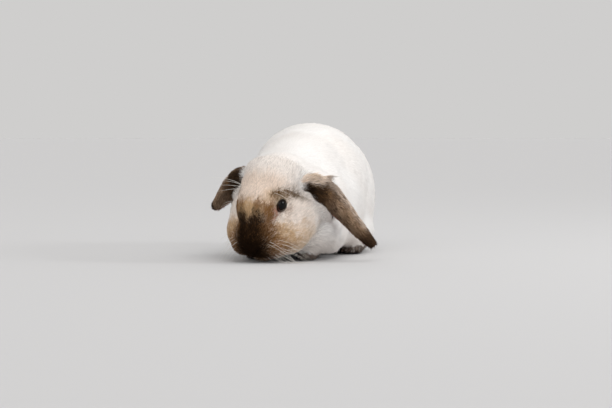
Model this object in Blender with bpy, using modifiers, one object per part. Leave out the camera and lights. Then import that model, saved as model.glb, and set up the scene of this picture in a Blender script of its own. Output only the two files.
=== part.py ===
"""A life-size lop-eared dwarf rabbit, crouched with its head lowered and turned aside.

Metres, +Z up. The body faces -Y and stands on the plane Z = 0. The animal's left is +X.
The whole animal is modelled as one soft form and then parted into its named pieces
by thin cuts. The outline is that of the coat, out to the tips of the fur.
"""

import math

import bmesh
import bpy
import numpy as np
from mathutils import Matrix, Vector
from mathutils.bvhtree import BVHTree

MM = 0.001

# Driving dimensions of the animal, over the fur
BODY_WIDTH = 132 * MM
BODY_LENGTH = 214 * MM
BODY_HEIGHT = 133 * MM
HEAD_LENGTH = 100 * MM
EAR_WIDTH = 40 * MM
EAR_THICKNESS = 4.6 * MM
EAR_ROOT_RADIUS = 9.5 * MM
EYE_RADIUS = 8.6 * MM
LID_RADIUS = 2.3 * MM
HIND_FOOT = Vector((23 * MM, 88 * MM, 19 * MM))
FORE_PAW = Vector((18 * MM, 42 * MM, 15 * MM))
CLAW_LENGTH = 6 * MM
CLAW_RADII = (1.5 * MM, 0.4 * MM)
CLAW_DROOP = math.radians(14)
TAIL_RADIUS = 12 * MM

# How the head is carried
HEAD_CENTRE = Vector((-4.3 * MM, -100 * MM, 55.5 * MM))
HEAD_PITCH = math.radians(48)
HEAD_YAW = math.radians(-20)
HEAD_ROLL = math.radians(6)
CHEST_FRONT_Y = -86 * MM

# Clearance between neighbouring pieces, and the fineness of the forms
GAP = 0.3 * MM
BODY_GRAIN = 3.2 * MM
HEAD_GRAIN = 2.2 * MM
SKIN_GRAIN = 1.5 * MM
LIMB_GRAIN = 1.3 * MM
EAR_GRAIN = 1.15 * MM
FLESH_TRIANGLES = 5200
EAR_TRIANGLES = 620
PAW_TRIANGLES = 280
TAIL_TRIANGLES = 280
GROOVE_TRIANGLES = 240
REGION_RINGS = 9

HEAD_FRAME = (
    Matrix.Translation(HEAD_CENTRE)
    @ Matrix.Rotation(HEAD_YAW, 4, "Z")
    @ Matrix.Rotation(HEAD_PITCH, 4, "X")
    @ Matrix.Rotation(HEAD_ROLL, 4, "Y")
)

# Masses of the trunk: centre and radii, as shares of the body's width, length and height,
# with the length counted from the front of the chest
TRUNK_MASSES = {
    "rump": ((0.008, 0.67, 0.475), (0.445, 0.33, 0.475)),
    "loin": ((0.024, 0.50, 0.535), (0.443, 0.36, 0.452)),
    "ribs": ((0.018, 0.34, 0.49), (0.395, 0.32, 0.43)),
    "chest": ((0.0, 0.17, 0.38), (0.37, 0.20, 0.34)),
    "belly": ((0.0, 0.48, 0.27), (0.42, 0.40, 0.22)),
    "scruff": ((-0.018, 0.12, 0.55), (0.31, 0.22, 0.245)),
    "withers": ((-0.02, 0.07, 0.46), (0.32, 0.16, 0.29)),
    "nape": ((-0.005, -0.04, 0.66), (0.215, 0.095, 0.10)),
}
# The same for the masses that come in pairs, on the animal's left
PAIRED_MASSES = {
    "haunch": ((0.272, 0.61, 0.42), (0.203, 0.28, 0.39)),
    "thigh": ((0.35, 0.55, 0.17), (0.14, 0.22, 0.14)),
    "flank": ((0.27, 0.38, 0.39), (0.21, 0.25, 0.34)),
    "shoulder": ((0.24, 0.20, 0.38), (0.20, 0.18, 0.31)),
    "elbow": ((0.28, 0.19, 0.21), (0.14, 0.15, 0.18)),
    "breast": ((0.19, 0.06, 0.215), (0.23, 0.13, 0.185)),
}

# Masses of the head: centre and radii as shares of its length, in the head's own frame,
# where -Y is the nose and +Z the crown
HEAD_MASSES = {
    "skull": ((0.0, 0.09, 0.05), (0.29, 0.41, 0.34)),
    "forehead": ((0.0, -0.12, 0.11), (0.235, 0.30, 0.25)),
    "muzzle": ((0.0, -0.33, -0.07), (0.25, 0.23, 0.21)),
    "bridge": ((0.0, -0.32, 0.02), (0.17, 0.23, 0.16)),
    "nose": ((0.0, -0.53, -0.085), (0.09, 0.05, 0.07)),
    "chin": ((0.0, -0.35, -0.24), (0.15, 0.16, 0.09)),
    "throat": ((0.0, 0.02, -0.20), (0.32, 0.34, 0.18)),
    "crown": ((0.0, 0.19, 0.19), (0.30, 0.22, 0.16)),
    "nape": ((0.0, 0.28, -0.04), (0.34, 0.22, 0.26)),
}
PAIRED_HEAD_MASSES = {
    "cheek": ((0.215, 0.0, -0.15), (0.25, 0.37, 0.25)),
    "ruff": ((0.28, 0.22, -0.17), (0.27, 0.28, 0.29)),
    "jowl": ((0.215, -0.20, -0.15), (0.215, 0.25, 0.19)),
    "lip": ((0.14, -0.39, -0.12), (0.165, 0.15, 0.13)),
    "brow": ((0.155, -0.055, 0.225), (0.09, 0.15, 0.065)),
}

# The left eye in the head's frame: its ball, the way it looks, and the opening of its lids
EYE_PLACE = Vector((0.153, -0.108, 0.120)) * HEAD_LENGTH
EYE_AXIS = Vector((0.88, -0.38, 0.27)).normalized()
EYE_LENGTHWISE = Vector((0.36, 0.90, 0.24))
LID_HALF_LENGTH = math.radians(50)
LID_HALF_HEIGHT = math.radians(41)
LID_TAPER = 0.22

# The mouth and the nostrils on the face, by height and width in the head's frame
LIP_SPLIT_TOP = -12.5 * MM
MOUTH_HEIGHT = -21 * MM
MOUTH_DROOP = 3.2 * MM
MOUTH_HALF_WIDTH = 13 * MM
GROOVE_RADIUS = 1.0 * MM
NOSTRIL_PLACE = (4.2 * MM, -7.5 * MM)
NOSTRIL_LEAN = math.radians(38)
NOSTRIL_RADII = Vector((1.1, 3.0, 2.7)) * MM

# Middle lines of the ears from root to tip, and how wide and how rolled they are on the way
EAR_LINES = {
    "left": ((27, -101, 72), (40, -106, 71), (53, -103, 63.5), (64, -96, 50), (76, -89, 33), (90, -83, 15.5)),
    "right": ((-24, -93, 80), (-40, -86, 80), (-55, -74, 73), (-66, -61, 63), (-74, -48, 55), (-81, -36, 50)),
}
EAR_FACES = {"left": Vector((0.34, -0.85, 0.38)), "right": Vector((-0.25, -0.80, 0.50))}
EAR_STATIONS = (0.0, 0.2, 0.45, 0.7, 0.88, 1.0)
EAR_WIDTHS = (0.60, 1.02, 0.86, 0.60, 0.41, 0.20)
EAR_ROLLS = {"left": (280, 165, 205, 235, 225, 170), "right": (280, 185, 165, 150, 145, 135)}

FORE_PAW_PLACE = Vector((25 * MM, -93 * MM, 0))
HIND_FOOT_PLACE = Vector((48 * MM, 0, 0))
HIND_FOOT_SPLAY = math.radians(5)
TAIL_LINE = (Vector((0, 114, 44)) * MM, Vector((0, 131, 52)) * MM, Vector((0, 132, 80)) * MM)
TAIL_STATIONS = (0.0, 0.45, 0.8, 1.0)
TAIL_GIRTHS = (0.75, 1.0, 0.85, 0.45)

# Regions that part the flesh into its named pieces, in the head's frame or the world's
HEAD_REGION = (Vector((0, -16, 0)) * MM, Vector((58, 58, 52)) * MM)
NECK_REGION = (Vector((-1, -62, 62)) * MM, Vector((60, 44, 56)) * MM)
HAUNCH_REGION = (Vector((72, 56, 50)) * MM, Vector((44, 62, 60)) * MM)
FORELEG_REGION = (Vector((38, -46, 28)) * MM, Vector((27, 34, 38)) * MM)

# Base colour, roughness of each finish
FINISHES = {
    "cream_fur": ((0.80, 0.75, 0.69), 0.9),
    "face_fur": ((0.50, 0.40, 0.31), 0.9),
    "dark_fur": ((0.085, 0.06, 0.045), 0.9),
    "eye": ((0.006, 0.005, 0.005), 0.05),
}


def clear_scene():
    for obj in list(bpy.data.objects):
        bpy.data.objects.remove(obj)


def collection(name):
    made = bpy.data.collections.new(name)
    bpy.context.scene.collection.children.link(made)
    return made


def object_of(name, mesh):
    obj = bpy.data.objects.new(name, mesh)
    WORKS.objects.link(obj)
    return obj


def remove(*objs):
    for obj in objs:
        bpy.data.objects.remove(obj)


def settle(obj):
    """Turns what the modifiers show into the object's own mesh."""
    bpy.context.view_layer.update()
    graph = bpy.context.evaluated_depsgraph_get()
    mesh = bpy.data.meshes.new_from_object(obj.evaluated_get(graph))
    obj.modifiers.clear()
    obj.data = mesh
    return obj


def mesh_from(bm, name):
    mesh = bpy.data.meshes.new(name)
    bm.to_mesh(mesh)
    bm.free()
    return mesh


def ellipsoid(name, centre, radii, frame=Matrix.Identity(4), rings=16):
    """A closed ellipsoid whose axes are those of frame."""
    bm = bmesh.new()
    bmesh.ops.create_uvsphere(bm, u_segments=2 * rings, v_segments=rings, radius=1.0)
    bm.transform(frame @ Matrix.Translation(centre) @ Matrix.Diagonal((*radii, 1.0)))
    return object_of(name, mesh_from(bm, name))


def ball(name, centre, radius, rings=8):
    return ellipsoid(name, centre, (radius, radius, radius), rings=rings)


def row_of_balls(name, line, radii):
    """Balls strung along a line, which a later remesh makes one limb."""
    return [ball(name, place, radius) for place, radius in zip(line, radii)]


def soften(name, pieces, grain, passes):
    """Joins closed pieces into one skin of even grain and smooths away their creases."""
    bm = bmesh.new()
    for piece in pieces:
        bm.from_mesh(piece.data)
    remove(*pieces)
    obj = object_of(name, mesh_from(bm, name))
    remesh = obj.modifiers.new("Even grain", "REMESH")
    remesh.mode = "VOXEL"
    remesh.voxel_size = grain
    smooth = obj.modifiers.new("Soft creases", "SMOOTH")
    smooth.factor = 0.5
    smooth.iterations = passes
    return settle(obj)


def thin_out(obj, triangles):
    """Reduces the mesh to about this many triangles, most of them where it curves."""
    count = sum(len(face.vertices) - 2 for face in obj.data.polygons)
    reduce = obj.modifiers.new("Fewer faces", "DECIMATE")
    reduce.ratio = min(1.0, triangles / count)
    return settle(obj)


def keep_largest(obj):
    """Drops loose scraps, so that the node is one closed surface."""
    bm = bmesh.new()
    bm.from_mesh(obj.data)
    left = set(bm.faces)
    shells = []
    while left:
        reached = [left.pop()]
        shell = []
        while reached:
            face = reached.pop()
            shell.append(face)
            near = {other for edge in face.edges for other in edge.link_faces} & left
            left -= near
            reached.extend(near)
        shells.append(shell)
    shells.sort(key=lambda shell: sum(face.calc_area() for face in shell))
    scraps = [face for shell in shells[:-1] for face in shell]
    bmesh.ops.delete(bm, geom=scraps, context="FACES")
    bm.to_mesh(obj.data)
    bm.free()
    return obj


def boolean(obj, tool, operation="DIFFERENCE"):
    """Applies one Boolean of obj with tool, by the second solver where the first finds nothing."""
    before = obj.data
    for solver in ("EXACT", "MANIFOLD"):
        obj.data = before
        step = obj.modifiers.new(operation.title(), "BOOLEAN")
        step.operation = operation
        step.object = tool
        step.solver = solver
        settle(obj)
        if len(obj.data.polygons) > 0:
            break
    remove(tool)
    return keep_largest(obj)


def copy_of(obj, name):
    return object_of(name, obj.data.copy())


def grown(obj, by=GAP):
    """A copy of obj whose surface lies outside it by this much, to cut its neighbours."""
    tool = copy_of(obj, obj.name + "_room")
    swell = tool.modifiers.new("Clearance", "DISPLACE")
    swell.mid_level = 0.0
    swell.strength = by
    return settle(tool)


def mirrored(vector):
    return Vector((-vector.x, vector.y, vector.z))


def both_sides(vector):
    """The point and its mirror image across the animal's middle."""
    return vector, mirrored(vector)


def smooth_line(points, steps=6):
    """Points along a smooth curve that passes through the given ones."""
    first = points[0] * 2 - points[1]
    last = points[-1] * 2 - points[-2]
    padded = [first, *points, last]
    line = []
    for a, b, c, d in zip(padded, padded[1:], padded[2:], padded[3:]):
        for step in range(steps):
            t = step / steps
            bend = (2 * a - 5 * b + 4 * c - d) * t ** 2
            turn = (3 * b - a - 3 * c + d) * t ** 3
            line.append((2 * b + (c - a) * t + bend + turn) / 2)
    line.append(points[-1])
    return line


def body_point(shares):
    x, y, z = shares
    return Vector((x * BODY_WIDTH, CHEST_FRONT_Y + y * BODY_LENGTH, z * BODY_HEIGHT))


def body_radii(shares):
    x, y, z = shares
    return (x * BODY_WIDTH, y * BODY_LENGTH, z * BODY_HEIGHT)


def trunk():
    """The trunk with its haunches, shoulders and upper legs, as one soft form."""
    pieces = []
    for name, (centre, radii) in TRUNK_MASSES.items():
        pieces.append(ellipsoid(name, body_point(centre), body_radii(radii)))
    for name, (centre, radii) in PAIRED_MASSES.items():
        for place in both_sides(body_point(centre)):
            pieces.append(ellipsoid(name, place, body_radii(radii)))
    return soften("trunk", pieces, BODY_GRAIN, 26)


def head_form():
    """The head with its cheeks, brows and muzzle, in its lowered place."""
    pieces = []
    for name, (centre, radii) in HEAD_MASSES.items():
        size = Vector(radii) * HEAD_LENGTH
        pieces.append(ellipsoid(name, Vector(centre) * HEAD_LENGTH, size, HEAD_FRAME))
    for name, (centre, radii) in PAIRED_HEAD_MASSES.items():
        size = Vector(radii) * HEAD_LENGTH
        for place in both_sides(Vector(centre) * HEAD_LENGTH):
            pieces.append(ellipsoid(name, place, size, HEAD_FRAME))
    return soften("head_form", pieces, HEAD_GRAIN, 9)


def eye_directions(side, widen=1.0, count=20):
    """Directions from the middle of the eye to the rim of its almond-shaped opening."""
    axis = EYE_AXIS
    along = (EYE_LENGTHWISE - axis * EYE_LENGTHWISE.dot(axis)).normalized()
    up = axis.cross(along)
    rim = []
    for i in range(count):
        turn = math.tau * i / count
        across = math.tan(LID_HALF_LENGTH * widen) * math.cos(turn)
        height = math.tan(LID_HALF_HEIGHT * widen) * math.sin(turn) * (1 - LID_TAPER * math.cos(turn) ** 2)
        way = (axis + along * across + up * height).normalized()
        rim.append(way if side == "left" else mirrored(way))
    return rim


def eye_centre(side):
    return EYE_PLACE if side == "left" else mirrored(EYE_PLACE)


def lids(side):
    """The rim of flesh round the eye, as balls for the skin's remesh to join."""
    reach = EYE_RADIUS + 0.6 * LID_RADIUS
    line = [HEAD_FRAME @ (eye_centre(side) + way * reach) for way in eye_directions(side, 1.22)]
    return row_of_balls("lid", line, [LID_RADIUS] * len(line))


def eye_opening(side):
    """A flaring plug that clears the fur in front of the eye, inside its lids."""
    rim = eye_directions(side)
    bm = bmesh.new()
    rings = []
    axis = EYE_AXIS if side == "left" else mirrored(EYE_AXIS)
    for reach, ahead in ((0.5, 0.0), (1.0, 0.0), (1.0, 0.9)):
        points = [eye_centre(side) + (way * reach + axis * ahead) * EYE_RADIUS for way in rim]
        rings.append([bm.verts.new(HEAD_FRAME @ point) for point in points])
    close_rings(bm, rings)
    return object_of("eye_opening", mesh_from(bm, "eye_opening"))


def close_rings(bm, rings):
    """Walls between successive rings of vertices, and a cap on the first and the last."""
    for ring, after in zip(rings, rings[1:]):
        for i in range(len(ring)):
            j = (i + 1) % len(ring)
            bm.faces.new((ring[i], ring[j], after[j], after[i]))
    bm.faces.new(list(reversed(rings[0])))
    bm.faces.new(rings[-1])
    bmesh.ops.recalc_face_normals(bm, faces=bm.faces)


def flesh():
    """Trunk, head and lids grown together, with few faces."""
    pieces = [trunk(), head_form(), *lids("left"), *lids("right")]
    whole = soften("flesh", pieces, SKIN_GRAIN, 4)
    return thin_out(whole, FLESH_TRIANGLES)


def surface_of(obj):
    return BVHTree.FromObject(obj, bpy.context.evaluated_depsgraph_get())


def on_face(surface, x, z):
    """The point of the face seen from in front at this width and height of the head."""
    start = HEAD_FRAME @ Vector((x, -HEAD_LENGTH, z))
    ahead = HEAD_FRAME.to_3x3() @ Vector((0, 1, 0))
    return surface.ray_cast(start, ahead)[0]


def groove(name, line, radius):
    """A round cutter swept along a line, made of many balls."""
    tube = soften(name, row_of_balls(name, line, [radius] * len(line)), radius * 0.45, 2)
    return thin_out(tube, GROOVE_TRIANGLES)


def mouth_cutters(surface):
    """The split of the upper lip below the nose, and the line of the mouth."""
    split = [on_face(surface, 0, z) for z in np.linspace(LIP_SPLIT_TOP, MOUTH_HEIGHT, 12)]
    mouth = []
    for share in np.linspace(-1, 1, 30):
        droop = MOUTH_DROOP * (1 - math.cos(share * math.pi)) / 2
        mouth.append(on_face(surface, share * MOUTH_HALF_WIDTH, MOUTH_HEIGHT - droop))
    return groove("mouth_line", split + mouth, GROOVE_RADIUS)


def nostril(surface, sign):
    """A slanting slit at one side of the nose, the animal's left where sign is 1."""
    aside, height = NOSTRIL_PLACE
    place = on_face(surface, aside * sign, height)
    lean = Matrix.Rotation(NOSTRIL_LEAN * sign, 4, "Y")
    frame = Matrix.Translation(place) @ HEAD_FRAME.to_3x3().to_4x4() @ lean
    return ellipsoid("nostril", Vector((0, 0, 0)), NOSTRIL_RADII, frame, rings=8)


def ear(side):
    """A hanging ear: a leathery cup rolled most at its root, with a fleshy base."""
    line = smooth_line([Vector(point) * MM for point in EAR_LINES[side]])
    face = EAR_FACES[side]
    shares = np.linspace(0, 1, len(line))
    widths = np.interp(shares, EAR_STATIONS, EAR_WIDTHS) * EAR_WIDTH
    rolls = np.radians(np.interp(shares, EAR_STATIONS, EAR_ROLLS[side]))
    bm = bmesh.new()
    rings = []
    for i, middle in enumerate(line):
        ahead = (line[min(i + 1, len(line) - 1)] - line[max(i - 1, 0)]).normalized()
        out = (face - ahead * face.dot(ahead)).normalized()
        across = ahead.cross(out)
        rings.append([bm.verts.new(p) for p in ear_section(middle, out, across, widths[i], rolls[i])])
    close_rings(bm, rings)
    shell = object_of("ear_shell", mesh_from(bm, "ear_shell"))
    base = row_of_balls("ear_base", line[:9], np.linspace(EAR_ROOT_RADIUS, 0.7 * EAR_ROOT_RADIUS, 9))
    return thin_out(soften("ear_" + side, [shell, *base], EAR_GRAIN, 3), EAR_TRIANGLES)


def ear_section(middle, out, across, width, roll, count=13):
    """One crescent across the ear: its outer side, then back along the inner one."""
    radius = width / roll
    centre = middle - out * radius
    crescent = []
    for side, turns in ((0.5, np.linspace(-0.5, 0.5, count)), (-0.5, np.linspace(0.5, -0.5, count))):
        for turn in turns:
            thickness = EAR_THICKNESS * (1 - 1.2 * turn ** 2)
            reach = radius + side * thickness
            angle = turn * roll
            crescent.append(centre + (out * math.cos(angle) + across * math.sin(angle)) * reach)
    return crescent


def paw(name, size, place, turn, toes=4):
    """A furry foot with its toes ahead (-Y) and a flat sole on the floor, and its claws."""
    width, length, height = size
    frame = Matrix.Translation(place) @ Matrix.Rotation(turn, 4, "Z")
    pieces = []
    for share, high in ((0.36, 0.52), (0.55, 0.54), (0.80, 0.56)):
        centre = Vector((0, share * length, high * height * 0.9))
        radii = (0.47 * width, 0.24 * length, high * height)
        pieces.append(ellipsoid("foot", centre, radii, frame))
    claws = []
    for i in range(toes):
        spread = (i + 0.5) / toes - 0.5
        back = 0.30 * width * (2 * abs(spread)) ** 1.5
        tip = Vector((spread * width * 0.92, back, 0.30 * height))
        middle = tip + Vector((0, 0.62 * width, 0.06 * height))
        radii = (0.155 * width, 0.64 * width, 0.36 * height)
        pieces.append(ellipsoid("toe", middle, radii, frame))
        claws.append(claw(frame, tip + Vector((0, 0.08 * width, 0))))
    foot = thin_out(soften(name, pieces, LIMB_GRAIN, 3), PAW_TRIANGLES)
    foot = boolean(foot, joined("claws", claws), "UNION")
    return boolean(foot, below_floor())


def claw(frame, base):
    """A short blunt cone that points ahead and a little down."""
    bm = bmesh.new()
    root, tip = CLAW_RADII
    bmesh.ops.create_cone(
        bm, cap_ends=True, segments=6, radius1=root, radius2=tip, depth=CLAW_LENGTH
    )
    ahead = Matrix.Rotation(math.radians(90) + CLAW_DROOP, 4, "X")
    bm.transform(frame @ Matrix.Translation(base) @ ahead)
    return object_of("claw", mesh_from(bm, "claw"))


def joined(name, pieces):
    """Separate closed pieces as one object, just as they are."""
    bm = bmesh.new()
    for piece in pieces:
        bm.from_mesh(piece.data)
    remove(*pieces)
    return object_of(name, mesh_from(bm, name))


def below_floor():
    """Everything under the floor, to cut the soles flat."""
    bm = bmesh.new()
    bmesh.ops.create_cube(bm, size=1.0)
    bmesh.ops.translate(bm, verts=bm.verts, vec=(0, 0, -0.5))
    return object_of("below_floor", mesh_from(bm, "below_floor"))


def tail():
    """The short tail, turned up against the rump."""
    line = smooth_line(list(TAIL_LINE), 5)
    shares = np.linspace(0, 1, len(line))
    radii = TAIL_RADIUS * np.interp(shares, TAIL_STATIONS, TAIL_GIRTHS)
    return thin_out(soften("tail", row_of_balls("tail", line, radii), LIMB_GRAIN, 4), TAIL_TRIANGLES)


def part_off(name, body, region, frame=Matrix.Identity(4)):
    """Takes the region's share of the body as a node of its own, and leaves a thin gap."""
    centre, radii = region
    piece = copy_of(body, name)
    boolean(piece, ellipsoid("region", centre, radii, frame, rings=REGION_RINGS), "INTERSECT")
    room = radii + Vector((GAP, GAP, GAP))
    boolean(body, ellipsoid("region_room", centre, room, frame, rings=REGION_RINGS))
    return piece


def mirrored_region(region):
    return mirrored(region[0]), region[1]


def finish(obj, kind):
    """Gives the node its own material and soft shading."""
    colour, roughness = FINISHES[kind]
    material = bpy.data.materials.new(obj.name + "_" + kind)
    material.use_nodes = True
    shader = material.node_tree.nodes["Principled BSDF"]
    shader.inputs["Base Color"].default_value = (*colour, 1.0)
    shader.inputs["Roughness"].default_value = roughness
    shader.inputs["Metallic"].default_value = 0.0
    obj.data.materials.clear()
    obj.data.materials.append(material)
    obj.data.shade_smooth()


def stand_on_origin(nodes):
    """Moves the whole animal so that the middle of its box's floor is the origin."""
    corners = [vertex.co for node in nodes for vertex in node.data.vertices]
    low = Vector([min(corner[axis] for corner in corners) for axis in range(3)])
    high = Vector([max(corner[axis] for corner in corners) for axis in range(3)])
    shift = Vector((-(low.x + high.x) / 2, -(low.y + high.y) / 2, -low.z))
    for node in nodes:
        node.data.transform(Matrix.Translation(shift))
    return shift


def rabbit():
    """Every node of the animal, each with the finish it wears."""
    whole = flesh()
    surface = surface_of(whole)
    face_cutters = [mouth_cutters(surface), nostril(surface, 1), nostril(surface, -1)]
    nodes = {}
    for side in ("left", "right"):
        centre = HEAD_FRAME @ eye_centre(side)
        nodes["eye_" + side] = ball("eye_" + side, centre, EYE_RADIUS, rings=8)
        nodes["ear_" + side] = ear(side)
        boolean(whole, eye_opening(side))
    for side, sign in (("left", 1), ("right", -1)):
        fore = Vector((FORE_PAW_PLACE.x * sign, FORE_PAW_PLACE.y, 0))
        hind = Vector((HIND_FOOT_PLACE.x * sign, HIND_FOOT_PLACE.y, 0))
        nodes["forepaw_" + side] = paw("forepaw_" + side, FORE_PAW, fore, 0)
        nodes["hind_foot_" + side] = paw("hind_foot_" + side, HIND_FOOT, hind, HIND_FOOT_SPLAY * sign)
    nodes["tail"] = tail()
    for cutter in face_cutters:
        boolean(whole, cutter)
    for node in list(nodes.values()):
        boolean(whole, grown(node))
    nodes["head"] = part_off("head", whole, HEAD_REGION, HEAD_FRAME)
    nodes["neck"] = part_off("neck", whole, NECK_REGION)
    nodes["haunch_left"] = part_off("haunch_left", whole, HAUNCH_REGION)
    nodes["haunch_right"] = part_off("haunch_right", whole, mirrored_region(HAUNCH_REGION))
    nodes["foreleg_left"] = part_off("foreleg_left", whole, FORELEG_REGION)
    nodes["foreleg_right"] = part_off("foreleg_right", whole, mirrored_region(FORELEG_REGION))
    whole.name = "torso"
    nodes["torso"] = whole
    return nodes


def finish_of(name):
    if name.startswith("eye"):
        return "eye"
    if name.startswith(("ear", "forepaw", "hind_foot", "tail")):
        return "dark_fur"
    return "face_fur" if name == "head" else "cream_fur"


clear_scene()
WORKS = collection("holland_lop_rabbit")
NODES = rabbit()
SHIFT = stand_on_origin(NODES.values())
for node_name, node in NODES.items():
    finish(node, finish_of(node_name))
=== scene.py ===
"""Looks of a life-size lop-eared dwarf rabbit, crouched with its head lowered and turned aside.

Metres, +Z up, the nose towards -Y and the animal's left towards +X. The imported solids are
the frame. One skin stands for all of the flesh, a coat of mesh tufts grows on it, and the
eyes, lids, whiskers and claws are pieces of their own.
"""

import math

import bmesh
import bpy
import numpy as np
from bpy.props import FloatProperty, FloatVectorProperty, IntProperty, PointerProperty
from bpy.types import Operator, Panel, PropertyGroup
from mathutils import Matrix, Vector
from mathutils.bvhtree import BVHTree


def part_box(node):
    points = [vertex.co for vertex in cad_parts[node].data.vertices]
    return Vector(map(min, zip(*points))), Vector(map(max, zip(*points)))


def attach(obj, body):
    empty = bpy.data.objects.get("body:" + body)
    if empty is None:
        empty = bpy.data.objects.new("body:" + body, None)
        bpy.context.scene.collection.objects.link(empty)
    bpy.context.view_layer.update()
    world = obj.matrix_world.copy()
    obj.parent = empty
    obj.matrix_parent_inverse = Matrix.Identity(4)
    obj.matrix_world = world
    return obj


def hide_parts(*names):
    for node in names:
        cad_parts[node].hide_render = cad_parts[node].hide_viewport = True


bl_info = {
    "name": "Lop-eared rabbit",
    "version": (1, 0, 0),
    "blender": (4, 5, 0),
    "location": "3D View > Sidebar > Rabbit",
    "description": "Builds the skin, coat, eyes and whiskers of a life-size lop-eared rabbit",
    "category": "Object",
}

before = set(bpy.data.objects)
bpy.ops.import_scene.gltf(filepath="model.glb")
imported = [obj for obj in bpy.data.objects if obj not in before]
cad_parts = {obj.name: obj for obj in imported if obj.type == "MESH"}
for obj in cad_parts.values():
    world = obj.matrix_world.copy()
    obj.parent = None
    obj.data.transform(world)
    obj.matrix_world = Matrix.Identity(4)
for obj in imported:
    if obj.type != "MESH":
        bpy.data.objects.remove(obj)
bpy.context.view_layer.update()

MM = 0.001
BODY = "root"
BAKE_MAP = "OFBake"
COLOUR = "coat_colour"
WELD = 0.001 * MM
RIPPLE_WAVES = 7

# The most tufts in one piece of the coat, at ten triangles each
MOST_TUFTS = 19500

SIDES = {"left": 1, "right": -1}
HAUNCHES = ("haunch_left", "haunch_right")
FORELEGS = ("foreleg_left", "foreleg_right")
FEET = ("forepaw_left", "forepaw_right", "hind_foot_left", "hind_foot_right")
EARS = ("ear_left", "ear_right")
FLESH = ("head", "neck", "torso", *HAUNCHES, *FORELEGS, *FEET, "tail", *EARS)

# How the head is carried, and where an eye sits in the head's own frame, in millimetres:
# there -Y is the nose, +Z the crown and +X the animal's left
HEAD_YAW = math.radians(-20)
HEAD_PITCH = math.radians(48)
HEAD_ROLL = math.radians(6)
EYE_IN_HEAD = Vector((15.3, -10.8, 12.0))
EYE_AXIS = Vector((0.91, -0.22, 0.27)).normalized()
EYE_LENGTHWISE = Vector((0.36, 0.90, 0.24))
EYE_ALONG = (EYE_LENGTHWISE - EYE_AXIS * EYE_LENGTHWISE.dot(EYE_AXIS)).normalized()
EYE_UP = EYE_AXIS.cross(EYE_ALONG)
EYE_HALF_LENGTH = math.radians(37)
EYE_HALF_HEIGHT = math.radians(35)
NOSE_TIP = Vector((0, -58, -8))

# The mouth seen from the front of the head's own frame: the ends of the lip's split, the height
# and half the width of the mouth's line, x and z of the ends of the left nostril, and the y
# behind which there is none of them
LIP_SPLIT = (-12.5, -21)
MOUTH_HEIGHT = -21
MOUTH_HALF_WIDTH = 13
NOSTRIL = ((2.4, -10.2), (6.4, -5.4))
MOUTH_BEHIND = -34

# Middle lines of the ears from root to tip in millimetres from the solids' own origin,
# the way that the back of each faces, and half its width at the points of that line
SOURCE_ORIGIN = Vector((-4.69, -0.61, 0)) * MM
EAR_LINES = {
    "left": (
        (27, -101, 72), (40, -106, 71), (53, -103, 63.5), (64, -96, 50), (76, -89, 33),
        (90, -83, 15.5),
    ),
    "right": (
        (-24, -93, 80), (-40, -86, 80), (-55, -74, 73), (-66, -61, 63), (-74, -48, 55),
        (-81, -36, 50),
    ),
}
EAR_FACES = {"left": Vector((0.34, -0.85, 0.38)), "right": Vector((-0.25, -0.80, 0.50))}
EAR_HALF_WIDTHS = (7.0, 13.0, 11.8, 9.3, 7.0, 3.5)

# The fold of fur that runs back from over the left eye to the ear, in the head's own frame
BROW_FOLD = (
    (18.4, -12, 27), (20.5, -7, 26), (24.1, -2.2, 22), (26.8, 2.2, 15.8), (29.8, 4.6, 9.8),
    (35, 5, 5.5), (43, 6, 1),
)

# The photograph's camera
CAMERA_AZIMUTH = math.radians(14)
CAMERA_ELEVATION = math.radians(4)
CAMERA_DISTANCE = 1.70
CAMERA_LENS = 100
SENSOR_WIDTH = 36
IMAGE_SIZE = (612, 408)
ORIGIN_PIXEL = (302, 254)


def linear(code):
    """An sRGB hex colour as the linear values that Blender's shaders take."""
    parts = [int(code[i:i + 2], 16) / 255 for i in (1, 3, 5)]
    return tuple(p / 12.92 if p <= 0.04045 else ((p + 0.055) / 1.055) ** 2.4 for p in parts)


def head_turn():
    yaw = Matrix.Rotation(HEAD_YAW, 4, "Z")
    pitch = Matrix.Rotation(HEAD_PITCH, 4, "X")
    return yaw @ pitch @ Matrix.Rotation(HEAD_ROLL, 4, "Y")


def eye_middle(side):
    low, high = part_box("eye_" + side)
    return (low + high) / 2


def head_frame():
    """The head's own frame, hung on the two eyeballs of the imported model."""
    between = (eye_middle("left") + eye_middle("right")) / 2
    offset = head_turn() @ (Vector((0, EYE_IN_HEAD.y, EYE_IN_HEAD.z)) * MM)
    return Matrix.Translation(between - offset) @ head_turn()


HEAD = head_frame()
HEAD_INVERSE = np.array(HEAD.inverted())


def in_head(points):
    """World points in the head's own frame, in millimetres."""
    return (points @ HEAD_INVERSE[:3, :3].T + HEAD_INVERSE[:3, 3]) / MM


def head_way(vectors):
    """Directions of the head's own frame as the world's."""
    return np.asarray(vectors) @ np.array(HEAD.to_3x3()).T


def unit(vectors):
    return vectors / np.maximum(np.linalg.norm(vectors, axis=-1, keepdims=True), 1e-9)


def ramp(values, low, high):
    """0 below low, 1 above high and a soft step between them."""
    t = np.clip((values - low) / (high - low), 0, 1)
    return t * t * (3 - 2 * t)


def ripple(points, size, seed):
    """Smooth noise, mostly from -1 to 1, whose bumps are about this many metres apart."""
    rng = np.random.default_rng(seed)
    total = np.zeros(len(points))
    for _ in range(RIPPLE_WAVES):
        way = unit(rng.normal(size=3))
        pitch = size * rng.uniform(0.7, 1.5)
        total += np.sin(points @ way * (math.tau / pitch) + rng.uniform(0, math.tau))
    return total / math.sqrt(RIPPLE_WAVES)


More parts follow.
